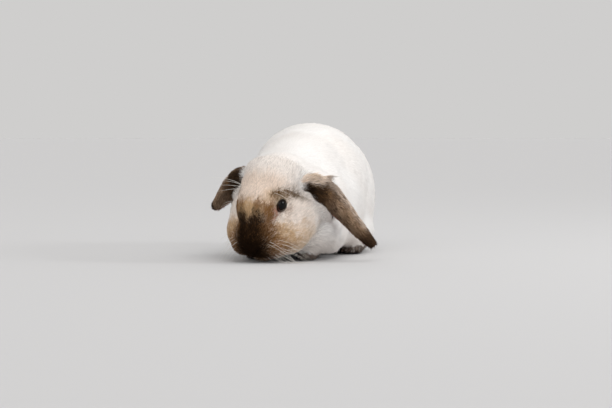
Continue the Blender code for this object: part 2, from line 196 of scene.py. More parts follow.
def new_object(name, mesh, replaced=()):
    """Links a piece of the animal, which rides on its only body."""
    obj = bpy.data.objects.new(name, mesh)
    bpy.context.scene.collection.objects.link(obj)
    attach(obj, BODY)
    if replaced:
        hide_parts(*replaced)
    return obj


def smooth_faces(mesh):
    mesh.polygons.foreach_set("use_smooth", [True] * len(mesh.polygons))
    mesh.update()


def mesh_of(name, points, faces):
    mesh = bpy.data.meshes.new(name)
    mesh.from_pydata([tuple(p) for p in points], [], [tuple(int(i) for i in f) for f in faces])
    smooth_faces(mesh)
    return mesh


def colour_points(mesh, colours):
    """Stores one linear colour for each vertex, which the materials read by its name."""
    layer = mesh.color_attributes.new(COLOUR, "FLOAT_COLOR", "POINT")
    rgba = np.ones((len(colours), 4), np.float32)
    rgba[:, :3] = colours
    layer.data.foreach_set("color", rgba.ravel())


# Materials

def node(tree, kind, settings=None, **links):
    """Adds a node with its settings, its socket values and its incoming links."""
    made = tree.nodes.new(kind)
    for name, value in (settings or {}).items():
        setattr(made, name, value)
    for name, value in links.items():
        socket = made.inputs[int(name[1:]) if name[1:].isdigit() else name.replace("_", " ")]
        if isinstance(value, bpy.types.NodeSocket):
            tree.links.new(value, socket)
        else:
            socket.default_value = value
    return made


def blank_material(name):
    """A material with nothing in its tree, and that tree."""
    material = bpy.data.materials.new(name)
    material.use_nodes = True
    material.node_tree.nodes.clear()
    return material, material.node_tree


def rabbit_fur(name, hair_pitch, contrast, relief, sheen, shine):
    """Rabbit's plush of fine crimped hair: matt and soft, faintly silvered along its edges, with
    streaks of light and shade that show close by. A single hair is a few hundredths of a
    millimetre wide, too fine to show, so a streak is as wide as a small lock of hairs."""
    material, tree = blank_material(name)
    colour = node(tree, "ShaderNodeAttribute", {"attribute_name": COLOUR})
    place = node(tree, "ShaderNodeTexCoord")
    hairs = node(
        tree, "ShaderNodeTexNoise", Vector=place.outputs["Object"], Scale=1 / hair_pitch,
        Detail=3.0, Roughness=0.6,
    )
    light_and_dark = node(
        tree, "ShaderNodeMapRange", Value=hairs.outputs["Fac"], From_Min=0.3, From_Max=0.7,
        To_Min=1 - contrast, To_Max=1 + 0.8 * contrast,
    )
    toned = node(
        tree, "ShaderNodeVectorMath", {"operation": "SCALE"}, i0=colour.outputs["Color"],
        Scale=light_and_dark.outputs["Result"],
    )
    bump = node(
        tree, "ShaderNodeBump", Height=hairs.outputs["Fac"], Strength=relief, Distance=hair_pitch,
    )
    shader = node(
        tree, "ShaderNodeBsdfPrincipled", Base_Color=toned.outputs[0], Normal=bump.outputs["Normal"],
        Roughness=0.78, IOR=1.45, Specular_IOR_Level=shine, Sheen_Weight=sheen, Sheen_Roughness=0.45,
    )
    node(tree, "ShaderNodeOutputMaterial", Surface=shader.outputs["BSDF"])
    return material


def moist_skin(name):
    """Bare skin of the lids: thin, pink to brown, with a damp gloss and fine wrinkles."""
    material, tree = blank_material(name)
    colour = node(tree, "ShaderNodeAttribute", {"attribute_name": COLOUR})
    place = node(tree, "ShaderNodeTexCoord")
    wrinkles = node(
        tree, "ShaderNodeTexVoronoi", Vector=place.outputs["Object"], Scale=1 / (0.7 * MM),
    )
    bump = node(
        tree, "ShaderNodeBump", Height=wrinkles.outputs["Distance"], Strength=0.35, Distance=0.2 * MM,
    )
    shader = node(
        tree, "ShaderNodeBsdfPrincipled", Base_Color=colour.outputs["Color"],
        Normal=bump.outputs["Normal"], Roughness=0.42, IOR=1.4, Subsurface_Weight=0.15,
        Subsurface_Scale=1.0 * MM, Coat_Weight=0.25, Coat_Roughness=0.2,
    )
    node(tree, "ShaderNodeOutputMaterial", Surface=shader.outputs["BSDF"])
    return material


def wet_cornea(name):
    """A rabbit's dark eye: brown-black iris and black pupil with the wet gloss of the cornea,
    which mirrors the soft lights as one bright patch."""
    material, tree = blank_material(name)
    colour = node(tree, "ShaderNodeAttribute", {"attribute_name": COLOUR})
    place = node(tree, "ShaderNodeTexCoord")
    fibres = node(
        tree, "ShaderNodeTexNoise", Vector=place.outputs["Object"], Scale=1 / (0.5 * MM), Detail=2.0,
    )
    toned = node(
        tree, "ShaderNodeVectorMath", {"operation": "SCALE"}, i0=colour.outputs["Color"],
        Scale=fibres.outputs["Fac"],
    )
    shader = node(
        tree, "ShaderNodeBsdfPrincipled", Base_Color=toned.outputs[0], Roughness=0.05, IOR=1.37,
        Specular_IOR_Level=0.25,
    )
    node(tree, "ShaderNodeOutputMaterial", Surface=shader.outputs["BSDF"])
    return material


def horn(name):
    """Claw horn, grown in layers: smooth, dark brown and paler towards its tip."""
    material, tree = blank_material(name)
    colour = node(tree, "ShaderNodeAttribute", {"attribute_name": COLOUR})
    place = node(tree, "ShaderNodeTexCoord")
    layers = node(
        tree, "ShaderNodeTexNoise", Vector=place.outputs["Object"], Scale=1 / (1.2 * MM), Detail=2.0,
    )
    bump = node(tree, "ShaderNodeBump", Height=layers.outputs["Fac"], Strength=0.2, Distance=0.1 * MM)
    shader = node(
        tree, "ShaderNodeBsdfPrincipled", Base_Color=colour.outputs["Color"],
        Normal=bump.outputs["Normal"], Roughness=0.35, IOR=1.54,
    )
    node(tree, "ShaderNodeOutputMaterial", Surface=shader.outputs["BSDF"])
    return material


def whisker_hair(name, colour):
    """Whiskers are stiff smooth white hairs, which catch the light along their length. Their
    scales are too fine to show, and are drawn as slow changes of tone along each hair."""
    material, tree = blank_material(name)
    place = node(tree, "ShaderNodeTexCoord")
    scales = node(
        tree, "ShaderNodeTexNoise", Vector=place.outputs["Object"], Scale=1 / (2.5 * MM), Detail=1.0,
    )
    toned = node(
        tree, "ShaderNodeMix", {"data_type": "RGBA"}, i0=scales.outputs["Fac"],
        i6=(*(0.82 * c for c in colour), 1), i7=(*colour, 1),
    )
    shader = node(
        tree, "ShaderNodeBsdfPrincipled", Base_Color=toned.outputs[2], Roughness=0.35, IOR=1.55,
    )
    node(tree, "ShaderNodeOutputMaterial", Surface=shader.outputs["BSDF"])
    return material


def studio_paper(name, colour):
    """The plain matt floor of a studio, with the faint tooth of pressed paper, drawn some ten
    times as coarse as it is, because the real one is too fine to show."""
    material, tree = blank_material(name)
    place = node(tree, "ShaderNodeTexCoord")
    tooth = node(
        tree, "ShaderNodeTexNoise", Vector=place.outputs["Object"], Scale=1 / (3 * MM), Detail=4.0,
    )
    bump = node(tree, "ShaderNodeBump", Height=tooth.outputs["Fac"], Strength=0.02, Distance=0.2 * MM)
    shader = node(
        tree, "ShaderNodeBsdfPrincipled", Base_Color=(*colour, 1), Normal=bump.outputs["Normal"],
        Roughness=0.9,
    )
    node(tree, "ShaderNodeOutputMaterial", Surface=shader.outputs["BSDF"])
    return material


# Sizes and colours that a user would change

class RabbitCoat(PropertyGroup):
    """How long, wide and close the tufts are."""

    body_length: FloatProperty(
        name="Body tufts", description="Length of the tufts on the trunk", default=10 * MM,
        unit="LENGTH",
    )
    cheek_length: FloatProperty(
        name="Cheek tufts", description="Length of the tufts on the cheeks and crown",
        default=7 * MM, unit="LENGTH",
    )
    muzzle_length: FloatProperty(
        name="Muzzle tufts", description="Length of the tufts on the muzzle", default=3.4 * MM,
        unit="LENGTH",
    )
    ear_length: FloatProperty(
        name="Ear tufts", description="Length of the tufts on the ears",
        default=3.6 * MM, unit="LENGTH",
    )
    foot_length: FloatProperty(
        name="Foot tufts", description="Length of the tufts on the feet", default=3.4 * MM,
        unit="LENGTH",
    )
    tail_length: FloatProperty(
        name="Tail tufts", description="Length of the tufts on the tail", default=8 * MM,
        unit="LENGTH",
    )
    body_depth: FloatProperty(
        name="Coat depth", description="How deep the coat lies over the skin of the trunk",
        default=1.2 * MM, unit="LENGTH",
    )
    skin_grain: FloatProperty(
        name="Skin grain", description="Size of the faces of the skin", default=1.15 * MM,
        unit="LENGTH",
    )
    tufts: IntProperty(
        name="Tufts", description="Number of tufts on the whole animal", default=146000,
    )
    seed: IntProperty(name="Seed", description="Start of the random draws", default=11)


class RabbitColours(PropertyGroup):
    """The coat's own colours and those of its bare parts. Smoke, mask, brown, sepia, blush and tan also
    stand in for shade where the markings paint it.
    """

    cream: FloatVectorProperty(
        name="Cream", description="Body coat", subtype="COLOR", default=linear("#F3F1EF"),
    )
    blush: FloatVectorProperty(
        name="Blush", description="Forehead, cheeks and nape", subtype="COLOR",
        default=linear("#E3D1C2"),
    )
    sepia: FloatVectorProperty(
        name="Sepia", description="Ears, feet and tail", subtype="COLOR", default=linear("#4B3828"),
    )
    # The mask also serves as painted shade: over the eyes and in the mouth's grooves
    mask: FloatVectorProperty(
        name="Mask", description="Darkest fur of the nose and ears", subtype="COLOR",
        default=linear("#180D05"),
    )
    brown: FloatVectorProperty(
        name="Brown", description="Sides of the muzzle and backs of the ears", subtype="COLOR",
        default=linear("#7A5633"),
    )
    tan: FloatVectorProperty(
        name="Tan", description="Jaw, and streaks of the ears", subtype="COLOR",
        default=linear("#B69263"),
    )
    # Smoke also serves as painted shade in the folds behind the brows and over the eyes, besides
    # colouring the eyes' own smoky rims and lids
    smoke: FloatVectorProperty(
        name="Smoke", description="Brows and rings of the eyes", subtype="COLOR",
        default=linear("#6E5937"),
    )
    pink: FloatVectorProperty(
        name="Pink", description="Bare skin", subtype="COLOR", default=linear("#B98274"),
    )
    whisker: FloatVectorProperty(
        name="Whiskers", description="Whiskers and brow hairs", subtype="COLOR",
        default=linear("#F4EFE6"),
    )
    floor: FloatVectorProperty(
        name="Floor", description="Studio floor", subtype="COLOR", default=linear("#C3C3C4"),
    )


def coat_sizes():
    return bpy.context.scene.rabbit_coat


def shade(name):
    return np.array(getattr(bpy.context.scene.rabbit_colours, name))


# The skin

class Skin:
    """The skin as arrays, with what the coat has to know at each of its vertices."""

    def __init__(self, mesh):
        count = len(mesh.vertices)
        self.mesh = mesh
        self.points = np.empty(count * 3)
        mesh.vertices.foreach_get("co", self.points)
        self.points = self.points.reshape(-1, 3)
        edges = np.empty(len(mesh.edges) * 2, np.int64)
        mesh.edges.foreach_get("vertices", edges)
        edges = edges.reshape(-1, 2)
        self.ends = np.concatenate((edges[:, 0], edges[:, 1]))
        self.others = np.concatenate((edges[:, 1], edges[:, 0]))
        self.degree = np.maximum(np.bincount(self.ends, minlength=count), 1)[:, None]
        self.regions = {}

    def mean_near(self, values):
        """The mean of the neighbours of each vertex."""
        flat = values.reshape(len(values), -1)
        sums = [
            np.bincount(self.ends, flat[self.others, i], len(flat)) for i in range(flat.shape[1])
        ]
        return (np.stack(sums, 1) / self.degree).reshape(values.shape)

    def blurred(self, values, rounds):
        for _ in range(rounds):
            values = 0.5 * values + 0.5 * self.mean_near(values)
        return values

    def relax(self, amount, rounds):
        """Smooths the form without shrinking it, more where amount is larger."""
        for _ in range(rounds):
            for push in (0.52, -0.54):
                pull = self.mean_near(self.points) - self.points
                self.points = self.points + push * amount[:, None] * pull

    def store(self):
        self.mesh.vertices.foreach_set("co", self.points.astype(np.float32).ravel())
        self.mesh.update()

    def normals(self):
        self.store()
        values = np.empty(len(self.points) * 3, np.float32)
        self.mesh.vertex_normals.foreach_get("vector", values)
        return values.reshape(-1, 3).astype(float)


# The last skin made, and the roots of its coat once they are drawn
SKIN = {}


def grown_flesh():
    """The solids of flesh, each swollen enough to close the cuts between them."""
    cut_width = 0.3 * MM
    together = bmesh.new()
    for name in FLESH:
        part = bmesh.new()
        part.from_mesh(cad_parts[name].data)
        bmesh.ops.remove_doubles(part, verts=part.verts, dist=WELD)
        part.normal_update()
        for vertex in part.verts:
            vertex.co += vertex.normal * cut_width
        swollen = bpy.data.meshes.new(name + "_swollen")
        part.to_mesh(swollen)
        part.free()
        together.from_mesh(swollen)
        bpy.data.meshes.remove(swollen)
    mesh = bpy.data.meshes.new("rabbit_skin")
    together.to_mesh(mesh)
    together.free()
    return mesh


def even_skin(mesh, grain):
    """One closed surface of even faces round everything in the mesh."""
    obj = bpy.data.objects.new("skin_form", mesh)
    bpy.context.scene.collection.objects.link(obj)
    remesh = obj.modifiers.new("Even grain", "REMESH")
    remesh.mode = "VOXEL"
    remesh.voxel_size = grain
    bpy.context.view_layer.update()
    graph = bpy.context.evaluated_depsgraph_get()
    even = bpy.data.meshes.new_from_object(obj.evaluated_get(graph))
    bpy.data.objects.remove(obj)
    keep_largest(even)
    return even


def keep_largest(mesh):
    """Drops any loose scrap, so that the mesh is one closed surface."""
    bm = bmesh.new()
    bm.from_mesh(mesh)
    left = set(bm.verts)
    shells = []
    while left:
        reached = [left.pop()]
        shell = []
        while reached:
            vertex = reached.pop()
            shell.append(vertex)
            near = {edge.other_vert(vertex) for edge in vertex.link_edges} & left
            left -= near
            reached.extend(near)
        shells.append(shell)
    shells.sort(key=len)
    scraps = [vertex for shell in shells[:-1] for vertex in shell]
    bmesh.ops.delete(bm, geom=scraps, context="VERTS")
    bm.to_mesh(mesh)
    bm.free()


def nearest_nodes(points):
    """For each point, the place in FLESH of the solid that lies nearest."""
    corners, faces, owners = [], [], []
    for index, name in enumerate(FLESH):
        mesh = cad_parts[name].data
        start = len(corners)
        corners.extend(vertex.co for vertex in mesh.vertices)
        for polygon in mesh.polygons:
            faces.append([start + i for i in polygon.vertices])
            owners.append(index)
    tree = BVHTree.FromPolygons(corners, faces)
    return np.array([owners[tree.find_nearest(Vector(point))[2]] for point in points])


def find_regions(skin):
    """Shares of each vertex in the animal's parts, which run softly into one another."""
    owner = nearest_nodes(skin.points)
    shares = skin.blurred(np.eye(len(FLESH))[owner], 14)
    for index, name in enumerate(FLESH):
        skin.regions[name] = shares[:, index]


def share_of(regions, *names):
    return sum(regions[name] for name in names)


def eye_ring(points, side):
    """How far out from an eye each point lies: 1 on the rim of its opening and less inside it."""
    local = in_head(points)
    sign = SIDES[side]
    centre = np.array((EYE_IN_HEAD.x * sign, EYE_IN_HEAD.y, EYE_IN_HEAD.z))
    way = unit((local - centre) * np.array((sign, 1, 1)))
    ahead = np.maximum(way @ np.array(EYE_AXIS), 0.05)
    across = way @ np.array(EYE_ALONG) / ahead / math.tan(EYE_HALF_LENGTH)
    height = way @ np.array(EYE_UP) / ahead / math.tan(EYE_HALF_HEIGHT)
    return np.hypot(across, height)


def ear_place(points, side):
    """Where points lie on an ear: 0 at its root to 1 at its tip, from -1 to 1 across it, and
    the ways down to its tip and across it there."""
    stations = np.array(EAR_LINES[side]) * MM + np.array(SOURCE_ORIGIN)
    shares = np.linspace(0, 1, 41)
    at = np.linspace(0, 1, len(stations))
    line = np.stack([np.interp(shares, at, stations[:, i]) for i in range(3)], 1)
    ahead = unit(np.gradient(line, axis=0))
    face = np.array(EAR_FACES[side])
    out = unit(face - ahead * (ahead @ face)[:, None])
    across = np.cross(ahead, out)
    squares = (line ** 2).sum(1)[None] - 2 * points @ line.T
    nearest = np.argmin(squares, axis=1)
    half = np.interp(shares[nearest], at, EAR_HALF_WIDTHS) * MM
    aside = np.sum((points - line[nearest]) * across[nearest], axis=1) / half
    return shares[nearest], aside, ahead[nearest], across[nearest]


def left_half(local):
    """Points of the head's frame, with those of its right half mirrored onto its left."""
    return np.column_stack((np.abs(local[:, 0]), local[:, 1:]))


def line_distance(points, line):
    """Distance from each point to a line of straight stretches, in the points' own unit."""
    nearest = np.full(len(points), np.inf)
    for start, end in zip(np.array(line[:-1], float), np.array(line[1:], float)):
        way = end - start
        t = np.clip((points - start) @ way / (way @ way), 0, 1)
        nearest = np.minimum(nearest, np.linalg.norm(points - start - t[:, None] * way, axis=1))
    return nearest


def eye_distance(points):
    """Distance to the nearer eye's middle, in millimetres."""
    away = [np.linalg.norm(points - np.array(eye_middle(side)), axis=1) for side in SIDES]
    return np.minimum(*away) / MM


def mouth_distance(local):
    """Distance in millimetres to the nearest of the lip's split, the mouth's line and the
    nostrils, and to the nostrils alone, for points on the front of the face."""
    x, y, z = local.T
    mirrored = np.abs(x)
    split_top, split_foot = LIP_SPLIT
    split = np.hypot(x, np.maximum(np.maximum(z - split_top, split_foot - z), 0))
    out = np.minimum(mirrored, MOUTH_HALF_WIDTH) / MOUTH_HALF_WIDTH
    lip = MOUTH_HEIGHT - 3.2 * (1 - np.cos(out * math.pi)) / 2
    mouth = np.hypot(np.maximum(mirrored - MOUTH_HALF_WIDTH, 0), z - lip)
    nostril = line_distance(np.column_stack((mirrored, z)), NOSTRIL)
    far = np.where(y < MOUTH_BEHIND, 0, 50)
    return np.minimum(np.minimum(split, mouth), nostril) + far, nostril + far


def coat_depth(skin):
    """Depth of the coat over the skin at each vertex, in metres."""
    local = in_head(skin.points)
    low_cheek = ramp(local[:, 1], -38, -5) * ramp(local[:, 2], 25, -10)
    face = 0.9 + 0.8 * low_cheek + 0.3 * ramp(local[:, 1], 0, 30)
    face = face * (0.25 + 0.75 * ramp(eye_distance(skin.points), 12, 19))
    body = coat_sizes().body_depth
    depths = (
        (body, ("torso", *HAUNCHES)),
        (0.95 * body, ("neck",)),
        (0.75 * body, FORELEGS),
        (1.9 * body, ("tail",)),
        (0.7 * MM, EARS),
        (0.9 * MM, FEET),
        (face * MM, ("head",)),
    )
    return sum(deep * share_of(skin.regions, *names) for deep, names in depths)


def make_skin():
    """Grows the solids of flesh into one skin and draws it in by the coat's depth."""
    skin = Skin(even_skin(grown_flesh(), coat_sizes().skin_grain))
    find_regions(skin)
    thin = np.clip(share_of(skin.regions, *EARS, *FEET), 0, 1)
    near_eye = 1 - ramp(eye_distance(skin.points), 13, 20)
    skin.relax(1 - 0.45 * thin - 0.55 * near_eye * (1 - thin), 22)
    fill_nape(skin)
    normals = skin.normals()
    depth = coat_depth(skin)
    skin.points = skin.points - normals * skin.blurred(depth, 6)[:, None]
    carve_face(skin, normals)
    hug_eyes(skin)
    skin.relax(np.full(len(skin.points), 0.6), 2)
    skin.depth = depth
    skin.wisp = sum(
        shaggy(*ear_place(skin.points, side)[:2], side) * skin.regions["ear_" + side] for side in SIDES
    )
    skin.normal = skin.normals()
    skin.flow = coat_flow(skin)
    return skin


def fill_nape(skin):
    """Evens the creases where the crown and the ruff meet the nape, as the thick fur there does."""
    head = skin.regions["head"]
    behind = share_of(skin.regions, "neck", "torso")
    local = in_head(skin.points)
    crease = np.clip(2 * skin.blurred(np.clip(6 * head * behind, 0, 1), 20), 0, 1)
    crease = crease * ramp(local[:, 2], 0, 20)
    back_of_head = ramp(local[:, 1], 20, 34) * ramp(local[:, 1], 90, 66) * ramp(head + behind, 0.9, 1.0)
    zone = np.maximum(crease, skin.blurred(back_of_head, 8))
    for _ in range(12):
        normals = skin.normals()
        for _ in range(6):
            pull = skin.mean_near(skin.points) - skin.points
            out = np.sum(pull * normals, axis=1)
            rise = np.where(out > 0, out, 0.8 * out) * zone
            skin.points = skin.points + normals * rise[:, None]
            slide = pull - normals * out[:, None]
            skin.points = skin.points + 0.5 * zone[:, None] * slide


def carve_face(skin, normals):
    """Presses the lip's split, the mouth's line, the nostrils and the folds behind the brows
    into the face."""
    local = in_head(skin.points)
    away, nostril = mouth_distance(local)
    dent = 1.1 * np.exp(-(away / 1.1) ** 2) + 1.2 * np.exp(-(nostril / 1.3) ** 2)
    fold = line_distance(left_half(local), BROW_FOLD)
    over = line_distance(left_half(local) - (0, 3.5, 6), BROW_FOLD)
    dent += 1.5 * np.exp(-(fold / 2.6) ** 2) - 0.9 * np.exp(-(over / 4.5) ** 2)
    skin.points = skin.points - normals * (dent * MM * skin.regions["head"])[:, None]


def hug_eyes(skin):
    """Draws the skin close round each eye, so that it passes under the rim of the lids: between
    a least and a most distance from the eye's middle, in millimetres, for each of these rings."""
    rings = (0.9, 1.0, 1.15, 1.35, 1.6, 1.9, 2.2)
    for side in SIDES:
        middle = np.array(eye_middle(side))
        ring = eye_ring(skin.points, side)
        away = skin.points - middle
        reach = np.linalg.norm(away, axis=1) / MM
        least = np.interp(ring, rings, (7.0, 8.5, 8.9, 9.0, 8.8, 8.0, 7.0))
        most = np.interp(ring, rings, (8.2, 8.6, 9.1, 9.9, 11.2, 13.5, 16.0))
        held = np.clip(reach, least, most)
        near = (reach < 16) & (ring < 2.2)
        skin.points[near] = middle + away[near] * (held[near] / reach[near])[:, None]


def face_flow(points):
    """The hair of the head lies away from the nose and fans out round each eye."""
    from_nose = unit(in_head(points) - np.array(NOSE_TIP) - np.array((0, 6, 0)))
    flow = head_way(from_nose + np.array((0, 0.5, 0)))
    for side in SIDES:
        from_eye = points - np.array(eye_middle(side))
        near = 1 - ramp(np.linalg.norm(from_eye, axis=1) / MM, 11, 22)
        flow = flow + 0.9 * near[:, None] * unit(from_eye)
    return flow


def ear_flow(points, side):
    """The hair of an ear lies towards its tip and fans out to its edges; its loose lock lifts."""
    share, aside, ahead, across = ear_place(points, side)
    spread = 0.9 * np.clip(aside, -1, 1) ** 3
    lock = ear_wisp(share, aside, side) ** 2
    lifted = np.array((0.9 * SIDES[side], 0.1, 0.8))
    return ahead + across * spread[:, None] + lock[:, None] * lifted


def coat_flow(skin):
    """The way that the coat lies at each vertex, along the skin."""
    points = skin.points
    trunk = np.tile((0.0, 1.0, -0.42), (len(points), 1))
    trunk[:, 0] = 0.12 * np.sign(points[:, 0])
    tail = np.tile((0.0, 0.25, 1.0), (len(points), 1))
    tail[:, 0] = np.clip(points[:, 0] / (22 * MM), -0.6, 0.6)
    flows = (
        (face_flow(points), ("head",)),
        (trunk, ("torso", "neck", *HAUNCHES)),
        (np.array((0, -0.1, -1)), FORELEGS),
        (np.array((0, -1, -0.15)), FEET),
        (tail, ("tail",)),
        (ear_flow(points, "left"), ("ear_left",)),
        (ear_flow(points, "right"), ("ear_right",)),
    )
    flow = sum(way * share_of(skin.regions, *names)[:, None] for way, names in flows)
    for _ in range(10):
        flow = 0.4 * flow + 0.6 * skin.mean_near(flow)
        flow = unit(flow - skin.normal * np.sum(flow * skin.normal, axis=1, keepdims=True))
    return flow


def ear_wisp(share, aside, side):
    """1 where a loose lock of longer fur hides the left ear's root, at its upper edge."""
    if side == "right":
        return np.zeros(len(share))
    return ramp(-aside, -0.3, 0.35) * ramp(share, 0.31, 0.17)


def shaggy(share, aside, side):
    """How much longer the hair of an ear grows: most in its loose lock, some along its upper edge."""
    upper = -aside if side == "left" else aside
    edge = 0.5 * ramp(upper, 0.45, 0.95) * ramp(share, 0.1, 0.25) * ramp(share, 0.95, 0.8)
    return np.maximum(ear_wisp(share, aside, side), edge)


# The markings, which skin and coat share

def spot(local, centre, radii, soft=0.5):
    """1 well inside an ellipsoid of the head's frame, 0 well outside, and soft between."""
    reach = np.linalg.norm((local - np.array(centre)) / np.array(radii), axis=1)
    return 1 - ramp(reach, 1 - soft, 1 + soft)


def spots(local, centre, radii, soft=0.5):
    """The same on both sides of the face."""
    mirrored = np.array((-1, 1, 1)) * centre
    return np.maximum(spot(local, centre, radii, soft), spot(local, mirrored, radii, soft))


def pale_markings(local):
    """The warm forehead, cheeks and jaw, with painted shade under the cheeks."""
    forehead = ramp(local[:, 1] - 0.35 * np.abs(local[:, 0]), 15, -2)
    return (
        ("blush", 0.95 * spot(local, (0, -12, 28), (35, 28, 23), 0.45) * forehead),
        ("blush", 0.60 * spots(local, (34, -12, -4), (17, 26, 18))),
        ("tan", 0.50 * spot(local, (17, -15, 29), (8, 8, 7), 0.6)),
        ("tan", 0.85 * spot(local, (0, -31, 28), (23, 9, 11), 0.6)),
        ("tan", 0.85 * spots(local, (26, -35, -2), (15, 13, 14))),
        # Painted shade under the cheeks, in tan
        ("tan", 0.65 * spots(local, (36, -27, -16), (12, 22, 12))),
    )


def brow_shade_and_eye_rims(local, rim):
    """The rims over and in front of the eyes, smoky partly in their own colour and partly as painted
    shade under the brows, and the folds that run back from them, painted dark as painted shade in these
    creases.
    """
    aside = np.abs(local[:, 0])
    fold = line_distance(left_half(local), BROW_FOLD)
    stroke = np.clip(0.95 + 0.40 * ripple(local * MM, 2.6 * MM, 53), 0, 1)
    far_side = np.where(local[:, 0] < 0, ramp(local[:, 1], -2, 5), 1)
    inner_fold_shade = stroke * ramp(aside, 34, 28) * far_side
    return (
        # Painted shade along the folds behind the brows
        ("smoke", stroke * ramp(fold, 6.0, 1.5) * ramp(aside, 40, 30) * far_side),
        # Over and in front of the eyes: their own smoky rims, with painted shade under the brows
        ("smoke", 0.90 * stroke * rim),
        # Painted shade, deepest in the folds
        ("brown", 0.60 * inner_fold_shade * ramp(fold, 5.0, 1.5)),
        ("sepia", 0.60 * inner_fold_shade * ramp(fold, 4.0, 1.0)),
    )


def muzzle_markings(local):
    """The brown sides of the muzzle and its dark mask, with painted shadow low on the sides of the
    muzzle.
    """
    return (
        ("brown", 0.95 * spots(local, (16.5, -25, 22.5), (6, 7.5, 8))),
        ("brown", 0.85 * spots(local, (8.5, -26, 30.5), (4, 6, 5), 0.6)),
        ("brown", 0.90 * spots(local, (19, -27, 17), (5, 6, 7))),
        ("brown", 0.90 * spots(local, (17, -37, 10), (9, 9, 11))),
        # Painted shadow low on the sides of the muzzle, in brown
        ("brown", 0.85 * spots(local, (28, -45, -8), (12, 9, 12))),
        ("brown", 0.97 * spot(local, (0, -50, 1), (30, 24, 28), 0.3)),
        ("mask", 0.45 * spots(local, (16.5, -41, 6), (7, 9, 10), 0.6)),
        ("mask", 0.95 * spots(local, (7.5, -38, 19), (6.5, 10, 11), 0.4)),
        ("mask", 0.75 * spots(local, (1, -40, 19), (4, 5, 6), 0.6)),
        ("mask", 0.98 * spot(local, (0, -51, 4), (18, 16, 20), 0.35)),
        ("mask", 0.90 * spot(local, (0, -54, -10), (22, 14, 16), 0.4)),
        ("brown", 0.60 * spot(local, (0, -42, -28), (18, 18, 9))),
    )


def strand_markings(local):
    """Pale and dark strands across the edges of the mask, and the small spot on the cheek."""
    away = local - np.array(NOSE_TIP)
    strand = ripple((30 * unit(away) + 0.12 * away) * MM, 1.8 * MM, 47)
    return (
        ("brown", 0.40 * np.clip(strand - 0.35, 0, 1) * spots(local, (9, -40, 15), (13, 13, 15))),
        ("mask", 0.45 * np.clip(-strand - 0.5, 0, 1) * spots(local, (17, -36, 8), (9, 12, 13))),
        ("blush", 0.60 * np.clip(strand - 0.3, 0, 1) * spots(local, (30, -34, -6), (18, 18, 18))),
        ("brown", 0.45 * np.clip(-strand - 0.4, 0, 1) * spots(local, (28, -36, -6), (16, 16, 18))),
        ("tan", 0.65 * spot(local, (41, -13.5, -4), (2.8, 2.8, 2.8), 0.6)),
    )


def face_markings(local, points):
    """Shares of the face's markings, painted one over another in this order."""
    ring = np.minimum(*(eye_ring(points, side) for side in SIDES))
    near_eye = 1 - ramp(eye_distance(points), 13.5, 18.5)
    above = ramp(local[:, 2], 8, 15)
    ahead = ramp(local[:, 1], -8, -15) * ramp(np.abs(local[:, 0]), 23.5, 20.5)
    # Where the rims over and in front of the eyes are painted: partly their own smoky rims, partly
    # painted shade under the brows
    rim = near_eye * np.maximum(0.75 * ramp(ring, 1.5, 1.2) * ahead, ramp(ring, 2.2, 1.4) * above)
    return (
        *pale_markings(local),
        *brow_shade_and_eye_rims(local, rim),
        ("brown", 0.50 * near_eye * ramp(ring, 1.4, 1.1)),
        *muzzle_markings(local),
        ("pink", 0.75 * spots(local, (21, -21.5, 15), (3.2, 5, 4), 0.6)),
        # Painted shadow: a dark line over and in front of each eye, where lid and brow overhang it, on
        # the eye's own dark rim
        ("mask", 0.50 * near_eye * ramp(ring, 1.24, 1.08) * np.maximum(above, ahead)),
        *strand_markings(local),
    )


def ear_markings(points, normals, side):
    """The same for an ear: darkest at its root and along its front, browner towards its tip,
    paler at its upper edge, streaked along the hair, with pink skin inside its roll."""
    share, aside, _, _ = ear_place(points, side)
    front = aside if side == "left" else -aside
    outside = ramp(normals @ np.array(EAR_FACES[side].normalized()), -0.35, 0.1)
    along = np.stack((share * 18, aside * 11, np.zeros(len(share))), 1) * MM
    streak = ripple(along, 2.4 * MM, 31) * 0.5
    root = ramp(share, 0.08, 0.16)
    short_of_tip = root * ramp(share, 0.93, 0.80)
    upper = ramp(front, -0.05, -0.85) * ramp(share, 0.10, 0.22)
    pale = 0.42 * upper + 0.16 * ramp(share, 0.35, 0.6)
    wisp = np.clip(2.2 * ear_wisp(share, aside, side), 0, 1)
    return (
        ("sepia", root),
        ("brown", short_of_tip * np.clip(0.14 + 0.55 * ramp(share, 0.3, 0.7) + 0.5 * streak, 0, 1)),
        ("tan", short_of_tip * np.clip(0.30 * ramp(share, 0.35, 0.7) + 0.5 * streak - 0.13, 0, 0.6)),
        ("blush", short_of_tip * np.clip(pale * (1 + streak), 0, 1)),
        ("mask", root * np.clip(0.85 * ramp(share, 0.45, 0.16) * ramp(front, -0.6, 0.3), 0, 1)),
        ("mask", root * np.clip(0.45 * ramp(front, 0.2, 0.9) + 0.30 * ramp(share, 0.88, 0.98), 0, 0.8)),
        ("mask", short_of_tip * np.clip(-1.1 * streak - 0.3, 0, 0.7)),
        ("blush", wisp),
        ("tan", wisp * np.clip(0.12 + 0.6 * streak, 0, 0.5)),
        ("pink", 0.65 * root * (1 - outside)),
    )


def combed(local, face):
    """The face's markings drawn out into streaks, along hair that lies away from the nose."""
    away = local - np.array(NOSE_TIP)
    way = unit(away)
    streak = np.clip(ripple((26 * way + 0.2 * away) * MM, 2.6 * MM, 41), -1.3, 1.3)
    stretch = 1.2 + 2.0 * ramp(local[:, 1], -8, -24)
    return local + way * (stretch * streak * face)[:, None]


